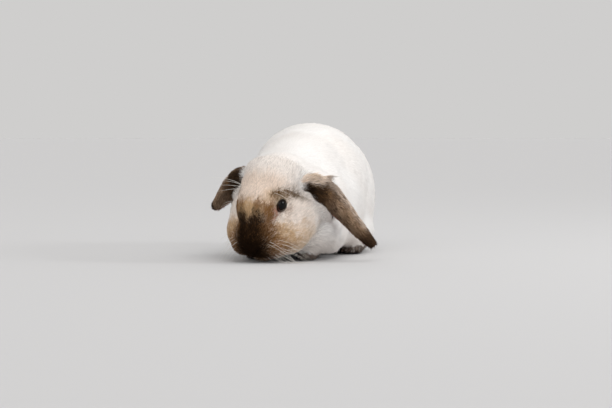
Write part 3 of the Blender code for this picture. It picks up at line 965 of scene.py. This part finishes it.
def coat_colours(points, normals, regions):
    """Linear colours of the coat at these points, from its markings and from painted shade where the
    coat faces down.
    """
    wobble = np.stack([ripple(points, 7 * MM, seed) for seed in range(3)], 1)
    local = combed(in_head(points) + 1.2 * wobble, regions["head"])
    colours = np.tile(shade("cream"), (len(points), 1))
    # Painted shade: the blush deepens where the coat faces down, with a broad random change of tone
    # besides
    warm = 0.35 * ramp(normals[:, 2], 0.2, -0.8) + 0.10 * (1 + ripple(points, 40 * MM, 5)) / 2
    nape = spot(local, (0, 10, 26), (42, 34, 32)) * share_of(regions, "head", "neck")
    colours = blend(colours, "blush", np.maximum(warm, 0.4 * nape))
    face = regions["head"]
    for name, amount in face_markings(local, points):
        colours = blend(colours, name, amount * ramp(face, 0.2, 0.8))
    for side in SIDES:
        on_ear = ramp(regions["ear_" + side], 0.35, 0.8)
        for name, amount in ear_markings(points + 0.8 * MM * wobble, normals, side):
            colours = blend(colours, name, amount * on_ear)
    for name in FEET:
        low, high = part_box(name)
        ahead = (points[:, 1] - low.y) / (high.y - low.y)
        colours = blend(colours, "sepia", 0.9 * ramp(regions[name], 0.3, 0.8) * ramp(ahead, 1.05, 0.45))
    up_tail = ramp(points[:, 2], 42 * MM, 66 * MM)
    colours = blend(colours, "sepia", 0.85 * ramp(regions["tail"], 0.3, 0.8) * up_tail)
    return colours


def blend(colours, name, amount):
    amount = np.clip(amount, 0, 1)[:, None]
    return colours * (1 - amount) + shade(name) * amount


# The coat

# A tuft: how deep its root sits in the skin, how far along its middle lies, the share of its
# length that it may rise, the share of plush tufts whose tips stand, and its lowest height
TUFT_SUNK = 0.35 * MM
TUFT_MIDDLE = 0.42
STEEPEST_TUFT = 0.62
STANDING_TIPS = 0.25
LOWEST_HAIR = 0.25 * MM

# Its points are three at the root, three at the middle and the tip; its faces close it
TUFT_POINTS = 7
TUFT_QUADS = ((0, 1, 4, 3), (1, 2, 5, 4), (2, 0, 3, 5))
TUFT_TRIANGLES = ((0, 2, 1), (3, 4, 6), (4, 5, 6), (5, 3, 6))

# Half the size of a tuft's patch on the skin's map
PATCH_HALF = 0.0015


class Roots:
    """Where the tufts grow: places on the skin, with all that the skin knows there."""

    def __init__(self, skin, corners, fractions, uvs):
        def at(values):
            return np.einsum("ij,ij...->i...", fractions, values[corners])

        self.points = at(skin.points)
        self.normal = unit(at(skin.normal))
        self.flow = unit(at(skin.flow))
        self.depth = at(skin.depth)
        self.regions = {name: at(values) for name, values in skin.regions.items()}
        self.wisp = at(skin.wisp)
        self.plush = plushness(self.points, self.regions)
        self.uv = np.einsum("ij,ijk->ik", fractions, uvs)

    def only(self, chosen):
        part = object.__new__(Roots)
        for name in ("points", "normal", "flow", "depth", "wisp", "plush", "uv"):
            setattr(part, name, getattr(self, name)[chosen])
        part.regions = {name: values[chosen] for name, values in self.regions.items()}
        return part


def tuft_sizes(points, regions):
    """Length and width of the tufts that grow at these points, in metres, and how close
    together they stand, as tufts for each square millimetre."""
    sizes = coat_sizes()
    local = in_head(points)
    cheek = ramp(local[:, 1], -34, 2) * (0.45 + 0.55 * ramp(local[:, 2], 24, -4))
    cheek = np.maximum(cheek, ramp(local[:, 1], 2, 24))
    cheek = cheek * (0.3 + 0.7 * ramp(eye_distance(points), 12, 22))
    face_length = sizes.muzzle_length + (sizes.cheek_length - sizes.muzzle_length) * cheek
    trunk = share_of(regions, "torso", *HAUNCHES)
    legs = share_of(regions, *FORELEGS)
    ears = share_of(regions, *EARS)
    feet = share_of(regions, *FEET)
    length = (
        sizes.body_length * (trunk + 0.9 * regions["neck"] + 0.7 * legs)
        + face_length * regions["head"] + sizes.ear_length * ears + sizes.foot_length * feet
        + sizes.tail_length * regions["tail"]
    )
    width = 0.085 * length + 0.24 * MM
    close = 2.6 / ((length / MM) * (width / MM))
    close = close * (1 + 0.25 * regions["head"] + 0.5 * plushness(points, regions) - 0.2 * ears)
    return length, width, close


def mapped_triangles(mesh):
    """The vertices of each triangle of the mesh, and the places of its corners on the map."""
    mesh.calc_loop_triangles()
    triangles, loops = np.empty((2, len(mesh.loop_triangles) * 3), np.int64)
    mesh.loop_triangles.foreach_get("vertices", triangles)
    mesh.loop_triangles.foreach_get("loops", loops)
    uvs = np.empty(len(mesh.loops) * 2)
    mesh.uv_layers[BAKE_MAP].data.foreach_get("uv", uvs)
    return triangles.reshape(-1, 3), uvs.reshape(-1, 2)[loops].reshape(-1, 3, 2)


def find_roots(skin, count, seed):
    """Spreads the roots over the skin, evenly for the size of their tufts."""
    rng = np.random.default_rng(seed)
    triangles, uvs = mapped_triangles(skin.mesh)
    a, b, c = (skin.points[triangles[:, i]] for i in range(3))
    area = np.linalg.norm(np.cross(b - a, c - a), axis=1) / 2 / MM ** 2
    close = tuft_sizes(skin.points, skin.regions)[2] * bare_places(skin)
    wanted = area * close[triangles].mean(1)
    reached = np.cumsum(wanted)
    steps = (np.arange(count) + rng.uniform(size=count)) * (reached[-1] / count)
    chosen = np.minimum(np.searchsorted(reached, steps), len(triangles) - 1)
    first, second = rng.uniform(size=(2, count))
    folded = first + second > 1
    first[folded], second[folded] = 1 - first[folded], 1 - second[folded]
    fractions = np.stack((1 - first - second, first, second), 1)
    return Roots(skin, triangles[chosen], fractions, uvs[chosen])


def bare_places(skin):
    """1 where the coat grows, 0 on the eyes, in the nostrils and along the mouth, and less than
    1 where the belly and the feet hide it."""
    grows = np.ones(len(skin.points))
    for side in SIDES:
        ring = eye_ring(skin.points, side)
        close = np.linalg.norm(skin.points - np.array(eye_middle(side)), axis=1) < 16 * MM
        grows = np.where(close, grows * ramp(ring, 1.03, 1.12), grows)
    away, nostril = mouth_distance(in_head(skin.points))
    grows = grows * ramp(away, 0.5, 1.3) * ramp(nostril, 0.8, 1.8)
    under = ramp(skin.normal[:, 2], -0.97, -0.7)
    low = ramp(skin.points[:, 2], 3 * MM, 12 * MM)
    return grows * (0.35 + 0.65 * under) * (0.5 + 0.5 * low)


def plushness(points, regions):
    """1 on the trunk and crown, where the coat lies closed and even, and 0 on the muzzle, ears
    and feet."""
    trunk = share_of(regions, "torso", "neck", *HAUNCHES)
    crown = regions["head"] * ramp(in_head(points)[:, 1], -30, 2)
    return np.clip(trunk + crown + 0.7 * share_of(regions, *FORELEGS), 0, 1)


def tuft_measures(roots, rng):
    """Length, width, lift and lie of every tuft, with some chance in each. A few are longer,
    thinner guard hairs, which stand higher."""
    count = len(roots.points)
    plush = roots.plush
    ears = share_of(roots.regions, *EARS)
    length, width, _ = tuft_sizes(roots.points, roots.regions)
    length = length * (1 + 1.9 * roots.wisp) * rng.uniform(0.72, 1.25, count)
    width = width * rng.uniform(0.75, 1.25, count) * (1 + 0.2 * plush)
    sway = (0.14 - 0.09 * plush) * ripple(roots.points, 13 * MM, 71)
    sway = sway + (0.17 - 0.10 * plush) * rng.normal(size=count)
    along = unit(roots.flow + np.cross(roots.normal, roots.flow) * sway[:, None])
    lift = roots.depth * (1 - (0.45 - 0.35 * plush) * rng.uniform(size=count))
    lift = lift * (1 + (0.15 - 0.14 * plush) * ripple(roots.points, 14 * MM, 72))
    guard = rng.uniform(size=count) < 0.10 + 0.15 * ears - 0.08 * plush
    length = np.where(guard, 1.3 * length, length)
    width = np.where(guard, 0.75 * width, width)
    lift = np.where(guard, 1.45 * lift + 0.5 * MM * ears, lift)
    lift = np.minimum(lift + 2.4 * MM * roots.wisp, STEEPEST_TUFT * length)
    return length, width, lift, along


def grow_tufts(roots, rng):
    """Points of every tuft: a ring at its root, one at its middle, and its tip. Where the coat is
    plush the sides reach down to the skin and most tips lie down, so that no dark gap shows
    between the tufts."""
    length, width, lift, along = tuft_measures(roots, rng)
    plush = roots.plush
    across = np.cross(roots.normal, along)
    reach = np.sqrt(np.maximum(length ** 2 - lift ** 2, 0))
    start = roots.points - roots.normal * TUFT_SUNK
    arched = lift * (0.66 + 0.1 * plush)
    middle = roots.points + along * (TUFT_MIDDLE * reach)[:, None] + roots.normal * arched[:, None]
    standing = rng.uniform(size=len(length)) < STANDING_TIPS
    laid = plush * np.where(standing, 0.15, 0.6)
    tip = roots.points + along * reach[:, None] + roots.normal * (lift * (1 - laid))[:, None]
    rise = roots.normal * ((0.42 - 0.17 * plush) * width)[:, None]
    half = across * (0.5 * width)[:, None]
    eaves = middle - roots.normal * (plush * (arched + 0.1 * MM))[:, None]
    rings = np.stack((
        start - 0.8 * half, start + 0.8 * half, start + rise,
        eaves - half, eaves + half, middle + rise, tip,
    ), 1)
    rings[:, :, 2] = np.maximum(rings[:, :, 2], LOWEST_HAIR)
    return rings, across


def tuft_mesh(name, roots, seed):
    """One piece of the coat as a solid mesh, a closed spike for each tuft."""
    rng = np.random.default_rng(seed)
    rings, across = grow_tufts(roots, rng)
    count = len(rings)
    pattern = [i for quad in TUFT_QUADS for i in quad] + [i for face in TUFT_TRIANGLES for i in face]
    corners = (np.arange(count)[:, None] * TUFT_POINTS + np.array(pattern)).ravel()
    sizes = [4] * len(TUFT_QUADS) + [3] * len(TUFT_TRIANGLES)
    starts = np.concatenate(([0], np.cumsum(sizes)[:-1]))
    face_starts = (np.arange(count)[:, None] * len(pattern) + starts).ravel()
    mesh = bpy.data.meshes.new(name)
    mesh.vertices.add(count * TUFT_POINTS)
    mesh.vertices.foreach_set("co", rings.astype(np.float32).ravel())
    mesh.loops.add(len(corners))
    mesh.loops.foreach_set("vertex_index", corners.astype(np.int32))
    mesh.polygons.add(len(face_starts))
    mesh.polygons.foreach_set("loop_start", face_starts.astype(np.int32))
    smooth_faces(mesh)
    mesh.validate()
    colour_tufts(mesh, roots, (rings[:, 5] + rings[:, 6]) / 2, rng)
    lay_patches(mesh, roots, corners)
    soften_normals(mesh, roots, across, rng)
    return mesh


def colour_tufts(mesh, roots, shown, rng):
    """Each tuft takes the coat's colour near where it shows. Where the coat isn't plush it is a
    little darker at its root and paler at its tip, as painted shade that deepens into the coat."""
    count = len(roots.points)
    strayed = shown + rng.normal(scale=1.0 * MM, size=(count, 3))
    colours = coat_colours(strayed, roots.normal, roots.regions)
    variety = 0.04 + 0.16 * roots.regions["head"] + 0.31 * share_of(roots.regions, *EARS)
    colours = colours * (1 + variety * rng.uniform(-1.1, 0.9, count))[:, None]
    # Painted shade: levels along each tuft, darker at its root and paler at its tip
    deep = np.array((-0.14, -0.14, -0.10, -0.02, -0.02, 0.0, 0.05))
    depth_shade_levels = 1 + deep[None, :] * (1 - roots.plush)[:, None]
    toned = np.clip(colours[:, None, :] * depth_shade_levels[:, :, None], 0, 0.97)
    colour_points(mesh, toned.reshape(-1, 3))


def lay_patches(mesh, roots, corners):
    """Maps each tuft to a small patch at its root's place on the skin's unwrap."""
    patch = PATCH_HALF * np.array((
        (-0.8, -1), (0.8, -1), (0, -1), (-1, 0), (1, 0), (0, 0), (0, 1),
    ))
    uvs = roots.uv[:, None, :] + patch[None]
    layer = mesh.uv_layers.new(name=BAKE_MAP)
    layer.data.foreach_set("uv", uvs.reshape(-1, 2)[corners].ravel())


def soften_normals(mesh, roots, across, rng):
    """Shades the tufts mostly as the skin under them, so that the coat looks plush."""
    count = len(roots.points)
    plush = roots.plush
    tilt = (0.16 - 0.12 * plush) * rng.normal(size=(2, count))
    base = roots.normal + across * tilt[0][:, None] + roots.flow * tilt[1][:, None]
    spread = np.array((-1, 1, 0, -1, 1, 0, 0))[None, :] * (0.28 - 0.18 * plush)[:, None]
    normals = base[:, None, :] + across[:, None, :] * spread[:, :, None]
    normals[:, 6] += 0.25 * roots.flow
    mesh.normals_split_custom_set_from_vertices(unit(normals).reshape(-1, 3))


def coat_pieces(names, material, seed):
    """The coat of these parts, each in as many pieces as its number of tufts needs."""
    roots = grown_roots()
    owner = np.argmax(np.stack([roots.regions[name] for name in FLESH]), axis=0)
    for name in names:
        found = np.flatnonzero(owner == FLESH.index(name))
        low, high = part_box(name)
        longest = int(np.argmax(np.array(high - low)))
        found = found[np.argsort(roots.points[found, longest], kind="stable")]
        parts = math.ceil(len(found) / MOST_TUFTS)
        for number, chosen in enumerate(np.array_split(found, parts), 1):
            piece_name = f"coat_{name}" if parts == 1 else f"coat_{name}_{number}"
            mesh = tuft_mesh(piece_name, roots.only(chosen), seed + FLESH.index(name) * 10 + number)
            mesh.materials.append(material)
            new_object(piece_name, mesh)


def grown_roots():
    """The roots of the whole coat, drawn once."""
    if "skin" not in SKIN:
        raise RuntimeError("make the skin before its coat")
    if "roots" not in SKIN:
        sizes = coat_sizes()
        SKIN["roots"] = find_roots(SKIN["skin"], sizes.tufts, sizes.seed)
    return SKIN["roots"]


def unwrap(obj):
    """Lays the skin out flat on a map of its own, piece by piece."""
    layer = obj.data.uv_layers.new(name=BAKE_MAP)
    obj.data.uv_layers.active = layer
    bpy.context.view_layer.objects.active = obj
    for other in bpy.context.selected_objects:
        other.select_set(False)
    obj.select_set(True)
    bpy.ops.object.mode_set(mode="EDIT")
    bpy.ops.mesh.select_all(action="SELECT")
    bpy.ops.uv.smart_project(angle_limit=math.radians(66), island_margin=0.002)
    bpy.ops.object.mode_set(mode="OBJECT")


class RABBIT_OT_skin(Operator):
    """Grow the solids of flesh into one skin, and colour it with the coat's markings"""

    bl_idname = "rabbit.skin"
    bl_label = "Skin"

    def execute(self, context):
        skin = make_skin()
        colours = coat_colours(skin.points, skin.normal, skin.regions)
        # Painted shade: the lip's split, the mouth's line and the nostrils in near black, the shade
        # inside these grooves and openings, over the dark bare skin there
        away, nostril = mouth_distance(in_head(skin.points))
        colours = blend(colours, "mask", np.maximum(1 - ramp(away, 0.6, 1.6), 1 - ramp(nostril, 0.8, 2)))
        smooth_faces(skin.mesh)
        colour_points(skin.mesh, 0.95 * colours)
        skin.mesh.materials.clear()
        skin.mesh.materials.append(rabbit_fur(
            "rabbit_underfur", hair_pitch=0.9 * MM, contrast=0.10, relief=0.6, sheen=0.0, shine=0.05
        ))
        obj = new_object("rabbit_skin", skin.mesh, FLESH)
        unwrap(obj)
        SKIN.clear()
        SKIN["skin"] = skin
        return {"FINISHED"}


class RABBIT_OT_body_coat(Operator):
    """Grow the long plush of the trunk, neck and legs"""

    bl_idname = "rabbit.body_coat"
    bl_label = "Body coat"

    def execute(self, context):
        material = rabbit_fur(
            "rabbit_plush", hair_pitch=0.8 * MM, contrast=0.04, relief=0.12, sheen=0.12, shine=0.15
        )
        coat_pieces(("torso", "neck", *HAUNCHES, *FORELEGS), material, 100)
        return {"FINISHED"}


class RABBIT_OT_face_coat(Operator):
    """Grow the short hair of the face and the fuller hair of the cheeks and crown"""

    bl_idname = "rabbit.face_coat"
    bl_label = "Face coat"

    def execute(self, context):
        material = rabbit_fur(
            "rabbit_face_fur", hair_pitch=0.6 * MM, contrast=0.12, relief=0.25, sheen=0.0, shine=0.05
        )
        coat_pieces(("head",), material, 300)
        return {"FINISHED"}


class RABBIT_OT_point_coat(Operator):
    """Grow the short dark hair of the ears, feet and tail"""

    bl_idname = "rabbit.point_coat"
    bl_label = "Ears, feet and tail"

    def execute(self, context):
        material = rabbit_fur(
            "rabbit_point_fur", hair_pitch=0.6 * MM, contrast=0.12, relief=0.25, sheen=0.02, shine=0.08
        )
        coat_pieces((*EARS, *FEET, "tail"), material, 500)
        return {"FINISHED"}


# Eyes and lids

# How far the cornea stands out, as a share of the eyeball's radius, and over what angle
CORNEA_BULGE = 0.045
CORNEA_ANGLE = 0.62


def eye_axes(side):
    """The middle of the eye and its axis, length and height in the world."""
    mirror = Vector((SIDES[side], 1, 1))
    turn = HEAD.to_3x3()
    return eye_middle(side), *(turn @ (v * mirror) for v in (EYE_AXIS, EYE_ALONG, EYE_UP))


def walls(rings, around):
    """Faces that join each of so many rings of points to the next one."""
    faces = []
    for i in range(rings):
        for j in range(around):
            k = (j + 1) % around
            faces.append((i * around + j, i * around + k, (i + 1) * around + k, (i + 1) * around + j))
    return faces


def eyeball(side):
    """A ball with the bulge of its cornea, coloured by the angle from its axis."""
    centre, axis, along, up = eye_axes(side)
    low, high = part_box("eye_" + side)
    radius = (high.x - low.x) / 2
    rings, around = 40, 56
    points, colours = [], []
    for i in range(rings + 1):
        angle = math.pi * i / rings
        bulge = 1 + CORNEA_BULGE * math.exp(-(angle / CORNEA_ANGLE) ** 2)
        tone = iris_colour(math.degrees(angle))
        for j in range(around):
            turn = math.tau * j / around
            sideways = along * math.cos(turn) + up * math.sin(turn)
            way = axis * math.cos(angle) + sideways * math.sin(angle)
            points.append(centre + way * radius * bulge)
            colours.append(tone)
    return welded("eyeball_" + side, points, walls(rings, around), colours)


def iris_colour(angle):
    """Black pupil, dark brown iris with a darker rim and the dull skin beyond, by the angle from
    the eye's axis in degrees."""
    stops = (0, 24, 27, 40, 52, 56, 66, 180)
    tones = ("#050505", "#050505", "#1B0F09", "#2A170D", "#140B07", "#1A1210", "#4A3B36", "#6E5A54")
    values = np.array([linear(tone) for tone in tones])
    return [float(np.interp(angle, stops, values[:, i])) for i in range(3)]


def welded(name, points, faces, colours):
    """A mesh whose doubled points are joined, with its colours kept."""
    mesh = mesh_of(name, points, faces)
    colour_points(mesh, np.array(colours))
    bm = bmesh.new()
    bm.from_mesh(mesh)
    bmesh.ops.remove_doubles(bm, verts=bm.verts, dist=WELD)
    bmesh.ops.dissolve_degenerate(bm, edges=bm.edges, dist=WELD / 10)
    bmesh.ops.recalc_face_normals(bm, faces=bm.faces)
    bm.to_mesh(mesh)
    bm.free()
    smooth_faces(mesh)
    return mesh


# Cross-section of a lid: how far round the eye's opening, and millimetres from its middle
LID_SECTION = (
    (0.955, 8.55), (0.96, 8.85), (0.98, 9.15), (1.01, 9.35), (1.05, 9.45), (1.09, 9.40),
    (1.13, 9.15), (1.14, 8.7), (1.08, 8.3), (0.98, 8.2),
)


def lid(side):
    """The rim of bare skin that closes on the eyeball, with a pink inner corner."""
    centre, axis, along, up = eye_axes(side)
    mask, pink, smoke = (shade(name) for name in ("mask", "pink", "smoke"))
    sections = 72
    points, colours = [], []
    for j in range(sections):
        turn = math.tau * j / sections
        corner = max(0.0, 1 - abs(turn - math.pi) / 0.55)
        flatter = 1 - 0.22 * math.cos(turn) ** 2
        for ring, reach in LID_SECTION:
            wide = ring * (1 + 0.10 * corner)
            across = math.tan(EYE_HALF_LENGTH) * wide * math.cos(turn)
            height = math.tan(EYE_HALF_HEIGHT) * wide * math.sin(turn) * flatter
            way = (axis + along * across + up * height).normalized()
            points.append(centre + way * reach * MM)
            outer = float(ramp(np.array(ring), 1.0, 1.12))
            bare = mask * (1 - 0.75 * corner) + pink * 0.75 * corner
            furred = smoke * 0.55 + mask * (0.30 - 0.3 * corner) + pink * 0.45 * corner
            colours.append(bare * (1 - outer) + furred * outer)
    faces = [[i % len(points) for i in face] for face in walls(sections, len(LID_SECTION))]
    return welded("lid_" + side, points, faces, colours)


class RABBIT_OT_eyes(Operator):
    """Set the two dark eyes and their lids"""

    bl_idname = "rabbit.eyes"
    bl_label = "Eyes and lids"

    def execute(self, context):
        wet = wet_cornea("rabbit_eye_wet_cornea")
        bare = moist_skin("rabbit_lid_skin")
        for side in SIDES:
            ball = eyeball(side)
            ball.materials.append(wet)
            new_object("eyeball_" + side, ball, ("eye_" + side,))
            rim = lid(side)
            rim.materials.append(bare)
            new_object("lid_" + side, rim)
        return {"FINISHED"}


# Whiskers

# Straight stretches in each hair, and how high it stays over the floor
WHISKER_STEPS = 14
WHISKER_CLEAR = 0.6 * MM


def tube(line, radii, sides):
    """Points and faces of a closed tapering tube along a line."""
    points = []
    line = np.array(line)
    for i, middle in enumerate(line):
        ahead = unit(line[min(i + 1, len(line) - 1)] - line[max(i - 1, 0)])
        helper = np.array((0, 0, 1.0)) if abs(ahead[2]) < 0.9 else np.array((1.0, 0, 0))
        u = unit(np.cross(ahead, helper))
        v = np.cross(ahead, u)
        for j in range(sides):
            turn = math.tau * j / sides
            points.append(middle + (u * math.cos(turn) + v * math.sin(turn)) * radii[i])
    last = (len(line) - 1) * sides
    ends = [tuple(range(sides))[::-1], tuple(range(last, last + sides))]
    return points, walls(len(line) - 1, sides) + ends


def add_tube(points, faces, line, radii, sides=5):
    """Puts another tube into a mesh's points and faces."""
    more, sheets = tube(line, radii, sides)
    faces.extend(tuple(i + len(points) for i in sheet) for sheet in sheets)
    points.extend(more)


def whisker_line(root, way, length, droop):
    """A hair that leaves along way, bends down under its weight and never enters the floor."""
    line = [np.array(root)]
    way = np.array(way, float)
    for _ in range(WHISKER_STEPS):
        way = unit(way + np.array((0, 0, -droop / WHISKER_STEPS)))
        point = line[-1] + way * (length / WHISKER_STEPS)
        if point[2] < WHISKER_CLEAR:
            point[2] = WHISKER_CLEAR
            way[2] = max(way[2], 0)
        line.append(point)
    return line


def skin_tree():
    return BVHTree.FromPolygons(
        [Vector(p) for p in SKIN["skin"].points],
        [tuple(polygon.vertices) for polygon in SKIN["skin"].mesh.polygons],
    )


# Rows of whiskers on the left lip pad: first and last root, number, length in millimetres,
# first and last direction, all in the head's own frame; then the long hairs of brow and cheek
WHISKER_ROWS = (
    ((15, -50, 2), (23, -40, 0), 4, 34, (0.80, -0.05, -0.45), (0.80, 0.50, -0.25)),
    ((16, -51, -3), (25, -39, -6), 6, 42, (0.75, 0.00, -0.60), (0.80, 0.55, -0.40)),
    ((15, -51, -9), (24, -41, -12), 5, 38, (0.70, 0.05, -0.65), (0.75, 0.60, -0.50)),
    ((12, -50, -14), (20, -43, -17), 3, 24, (0.60, 0.10, -0.75), (0.65, 0.55, -0.60)),
)
BROW_ROW = ((16, -8, 27), (20, -3, 27), 4, 30, (0.85, -0.25, 0.45), (0.90, 0.25, 0.30))
CHEEK_HAIRS = ((33, -8, 6), (35, -6, 3), 2, 24, (0.9, 0.2, 0.10), (0.9, 0.4, -0.1))


def whiskers(side, seed):
    """Every long stiff hair of one side of the face, as one mesh of tapering tubes."""
    rng = np.random.default_rng(seed)
    tree = skin_tree()
    mirror = np.array((SIDES[side], 1, 1))
    points, faces = [], []
    for row in (*WHISKER_ROWS, BROW_ROW, CHEEK_HAIRS):
        first, last, count, length, first_way, last_way = row
        for t in np.linspace(0, 1, count):
            place = (1 - t) * np.array(first) + t * np.array(last) + 0.5 * rng.normal(size=3)
            way = (1 - t) * np.array(first_way) + t * np.array(last_way) + 0.08 * rng.normal(size=3)
            world = np.array(HEAD @ Vector(place * mirror * MM))
            root = np.array(tree.find_nearest(Vector(world))[0])
            way = head_way(unit(way) * mirror)
            reach = length * rng.uniform(0.75, 1.15) * MM
            line = whisker_line(root - way * 1.5 * MM, way, reach, rng.uniform(0.3, 0.8))
            radii = np.interp(np.linspace(0, 1, len(line)), (0, 0.5, 1), (0.15, 0.10, 0.03)) * MM
            add_tube(points, faces, line, radii)
    return mesh_of("whiskers_" + side, points, faces)


class RABBIT_OT_whiskers(Operator):
    """Set the whiskers of the lips and the long hairs of the brows and cheeks"""

    bl_idname = "rabbit.whiskers"
    bl_label = "Whiskers"

    def execute(self, context):
        if "skin" not in SKIN:
            raise RuntimeError("make the skin before the whiskers")
        material = whisker_hair("rabbit_whisker", shade("whisker"))
        for side, sign in SIDES.items():
            mesh = whiskers(side, coat_sizes().seed + sign)
            mesh.materials.append(material)
            new_object("whiskers_" + side, mesh)
        return {"FINISHED"}


# Claws

CLAW_LENGTH = 6.5 * MM
CLAW_RADIUS = 1.35 * MM
CLAW_SIDES = 8
CLAW_COLOUR = "#3A2A20"
TOES = 4
HIND_SPLAY = math.radians(-5)


def claws(name, splay):
    """Four curved claws at the front of one foot, as one mesh."""
    low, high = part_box(name)
    width, height = high.x - low.x, high.z
    middle = (low.x + high.x) / 2
    points, faces, colours = [], [], []
    for toe in range(TOES):
        spread = (toe + 0.5) / TOES - 0.5
        back = 0.30 * width * (2 * abs(spread)) ** 1.5
        base = np.array((middle + 0.92 * width * spread, low.y + back + 5.2 * MM, 0.30 * height))
        line, radii = [], []
        for t in np.linspace(0, 1, 8):
            ahead = np.array((math.sin(splay) * t, -t, -0.22 * t - 0.20 * t * t)) * CLAW_LENGTH
            point = base + ahead
            point[2] = max(point[2], 0.5 * MM)
            line.append(point)
            radii.append(CLAW_RADIUS * (1 - 0.82 * t ** 1.4))
            tone = 1 + 0.9 * t
            colours.extend([tuple(c * tone for c in linear(CLAW_COLOUR))] * CLAW_SIDES)
        add_tube(points, faces, line, radii, CLAW_SIDES)
    mesh = mesh_of("claws_" + name, points, faces)
    colour_points(mesh, np.array(colours))
    return mesh


class RABBIT_OT_claws(Operator):
    """Set the claws of the four feet"""

    bl_idname = "rabbit.claws"
    bl_label = "Claws"

    def execute(self, context):
        material = horn("rabbit_claw_horn")
        for side, sign in SIDES.items():
            for foot, splay in (("forepaw_", 0), ("hind_foot_", HIND_SPLAY * sign)):
                mesh = claws(foot + side, splay)
                mesh.materials.append(material)
                new_object("claws_" + foot + side, mesh)
        return {"FINISHED"}


# The stage

FLOOR_RADIUS = 60.0
ROOM_COLOUR = "#CFCECD"
LIGHT_AIM = Vector((0, -0.03, 0.06))


def add_light(kind, name, place, power, colour, **settings):
    """A light that hangs at place and shines at the rabbit's chest."""
    light = bpy.data.lights.new(name, kind)
    light.energy = power
    light.color = linear(colour)
    for setting, value in settings.items():
        setattr(light, setting, value)
    obj = bpy.data.objects.new(name, light)
    bpy.context.scene.collection.objects.link(obj)
    obj.location = place
    obj.rotation_mode = "QUATERNION"
    obj.rotation_quaternion = (LIGHT_AIM - Vector(place)).to_track_quat("-Z", "Y")
    return obj


def studio_floor():
    """A round floor, so wide that its edge lies at the horizon."""
    bm = bmesh.new()
    bmesh.ops.create_circle(bm, cap_ends=True, segments=96, radius=FLOOR_RADIUS)
    mesh = bpy.data.meshes.new("floor")
    bm.to_mesh(mesh)
    bm.free()
    floor = bpy.data.objects.new("floor", mesh)
    bpy.context.scene.collection.objects.link(floor)
    mesh.materials.append(studio_paper("studio_paper", shade("floor")))


def studio_world():
    """A room that lights evenly from all sides, in the tone of the lit floor."""
    world = bpy.data.worlds.new("soft_room")
    world.use_nodes = True
    back = world.node_tree.nodes["Background"]
    back.inputs["Color"].default_value = (*linear(ROOM_COLOUR), 1)
    back.inputs["Strength"].default_value = 1.0
    bpy.context.scene.world = world


def photo_camera():
    """The photograph's view, framed by turning the camera and not by shifting its lens."""
    level = math.cos(CAMERA_ELEVATION)
    back = Vector((
        math.sin(CAMERA_AZIMUTH) * level, -math.cos(CAMERA_AZIMUTH) * level,
        math.sin(CAMERA_ELEVATION),
    ))
    right = Vector((math.cos(CAMERA_AZIMUTH), math.sin(CAMERA_AZIMUTH), 0))
    up = back.cross(right)
    focal_pixels = CAMERA_LENS / SENSOR_WIDTH * IMAGE_SIZE[0]
    off_x = (IMAGE_SIZE[0] / 2 - ORIGIN_PIXEL[0]) / focal_pixels
    off_y = (ORIGIN_PIXEL[1] - IMAGE_SIZE[1] / 2) / focal_pixels
    ahead = (right * off_x + up * off_y - back).normalized()
    data = bpy.data.cameras.new("photo_camera")
    data.lens = CAMERA_LENS
    data.sensor_width = SENSOR_WIDTH
    data.clip_start = 0.05
    camera = bpy.data.objects.new("photo_camera", data)
    bpy.context.scene.collection.objects.link(camera)
    camera.location = SOURCE_ORIGIN + back * CAMERA_DISTANCE
    camera.rotation_mode = "QUATERNION"
    camera.rotation_quaternion = ahead.to_track_quat("-Z", "Y")
    bpy.context.scene.camera = camera


class RABBIT_OT_stage(Operator):
    """Lay the pale floor, hang the soft lights and set the photograph's camera"""

    bl_idname = "rabbit.stage"
    bl_label = "Floor, lights and camera"

    def execute(self, context):
        studio_floor()
        studio_world()
        add_light("SUN", "sky_light", (0.4, -0.1, 1.6), 1.0, "#FFFEFC", angle=math.radians(50))
        add_light("SUN", "front_light", (0.35, -1.6, 0.85), 1.2, "#FFFCFA", angle=math.radians(80))
        eye_light = add_light(
            "AREA", "eye_light", (1.47, 0.03, 0.68), 6.0, "#FFFFFF", shape="DISK", size=0.35
        )
        eye_light.visible_camera = False
        photo_camera()
        context.scene.view_settings.view_transform = "Standard"
        return {"FINISHED"}


class RABBIT_PT_build(Panel):
    """Lists the steps that build the rabbit"""

    bl_label = "Rabbit"
    bl_idname = "RABBIT_PT_build"
    bl_space_type = "VIEW_3D"
    bl_region_type = "UI"
    bl_category = "Rabbit"

    def draw(self, context):
        for group in (context.scene.rabbit_coat, context.scene.rabbit_colours):
            for name in group.__annotations__:
                self.layout.prop(group, name)
        for step in STEPS:
            self.layout.operator(step.bl_idname)


STEPS = (
    RABBIT_OT_skin, RABBIT_OT_body_coat, RABBIT_OT_face_coat, RABBIT_OT_point_coat, RABBIT_OT_eyes,
    RABBIT_OT_whiskers, RABBIT_OT_claws, RABBIT_OT_stage,
)
CLASSES = (RabbitCoat, RabbitColours, *STEPS, RABBIT_PT_build)


def register():
    for made in CLASSES:
        bpy.utils.register_class(made)
    bpy.types.Scene.rabbit_coat = PointerProperty(type=RabbitCoat)
    bpy.types.Scene.rabbit_colours = PointerProperty(type=RabbitColours)


def unregister():
    del bpy.types.Scene.rabbit_coat
    del bpy.types.Scene.rabbit_colours
    for made in reversed(CLASSES):
        bpy.utils.unregister_class(made)


def main():
    register()
    for step in STEPS:
        group, name = step.bl_idname.split(".")
        getattr(getattr(bpy.ops, group), name)()


if __name__ == "__main__":
    main()
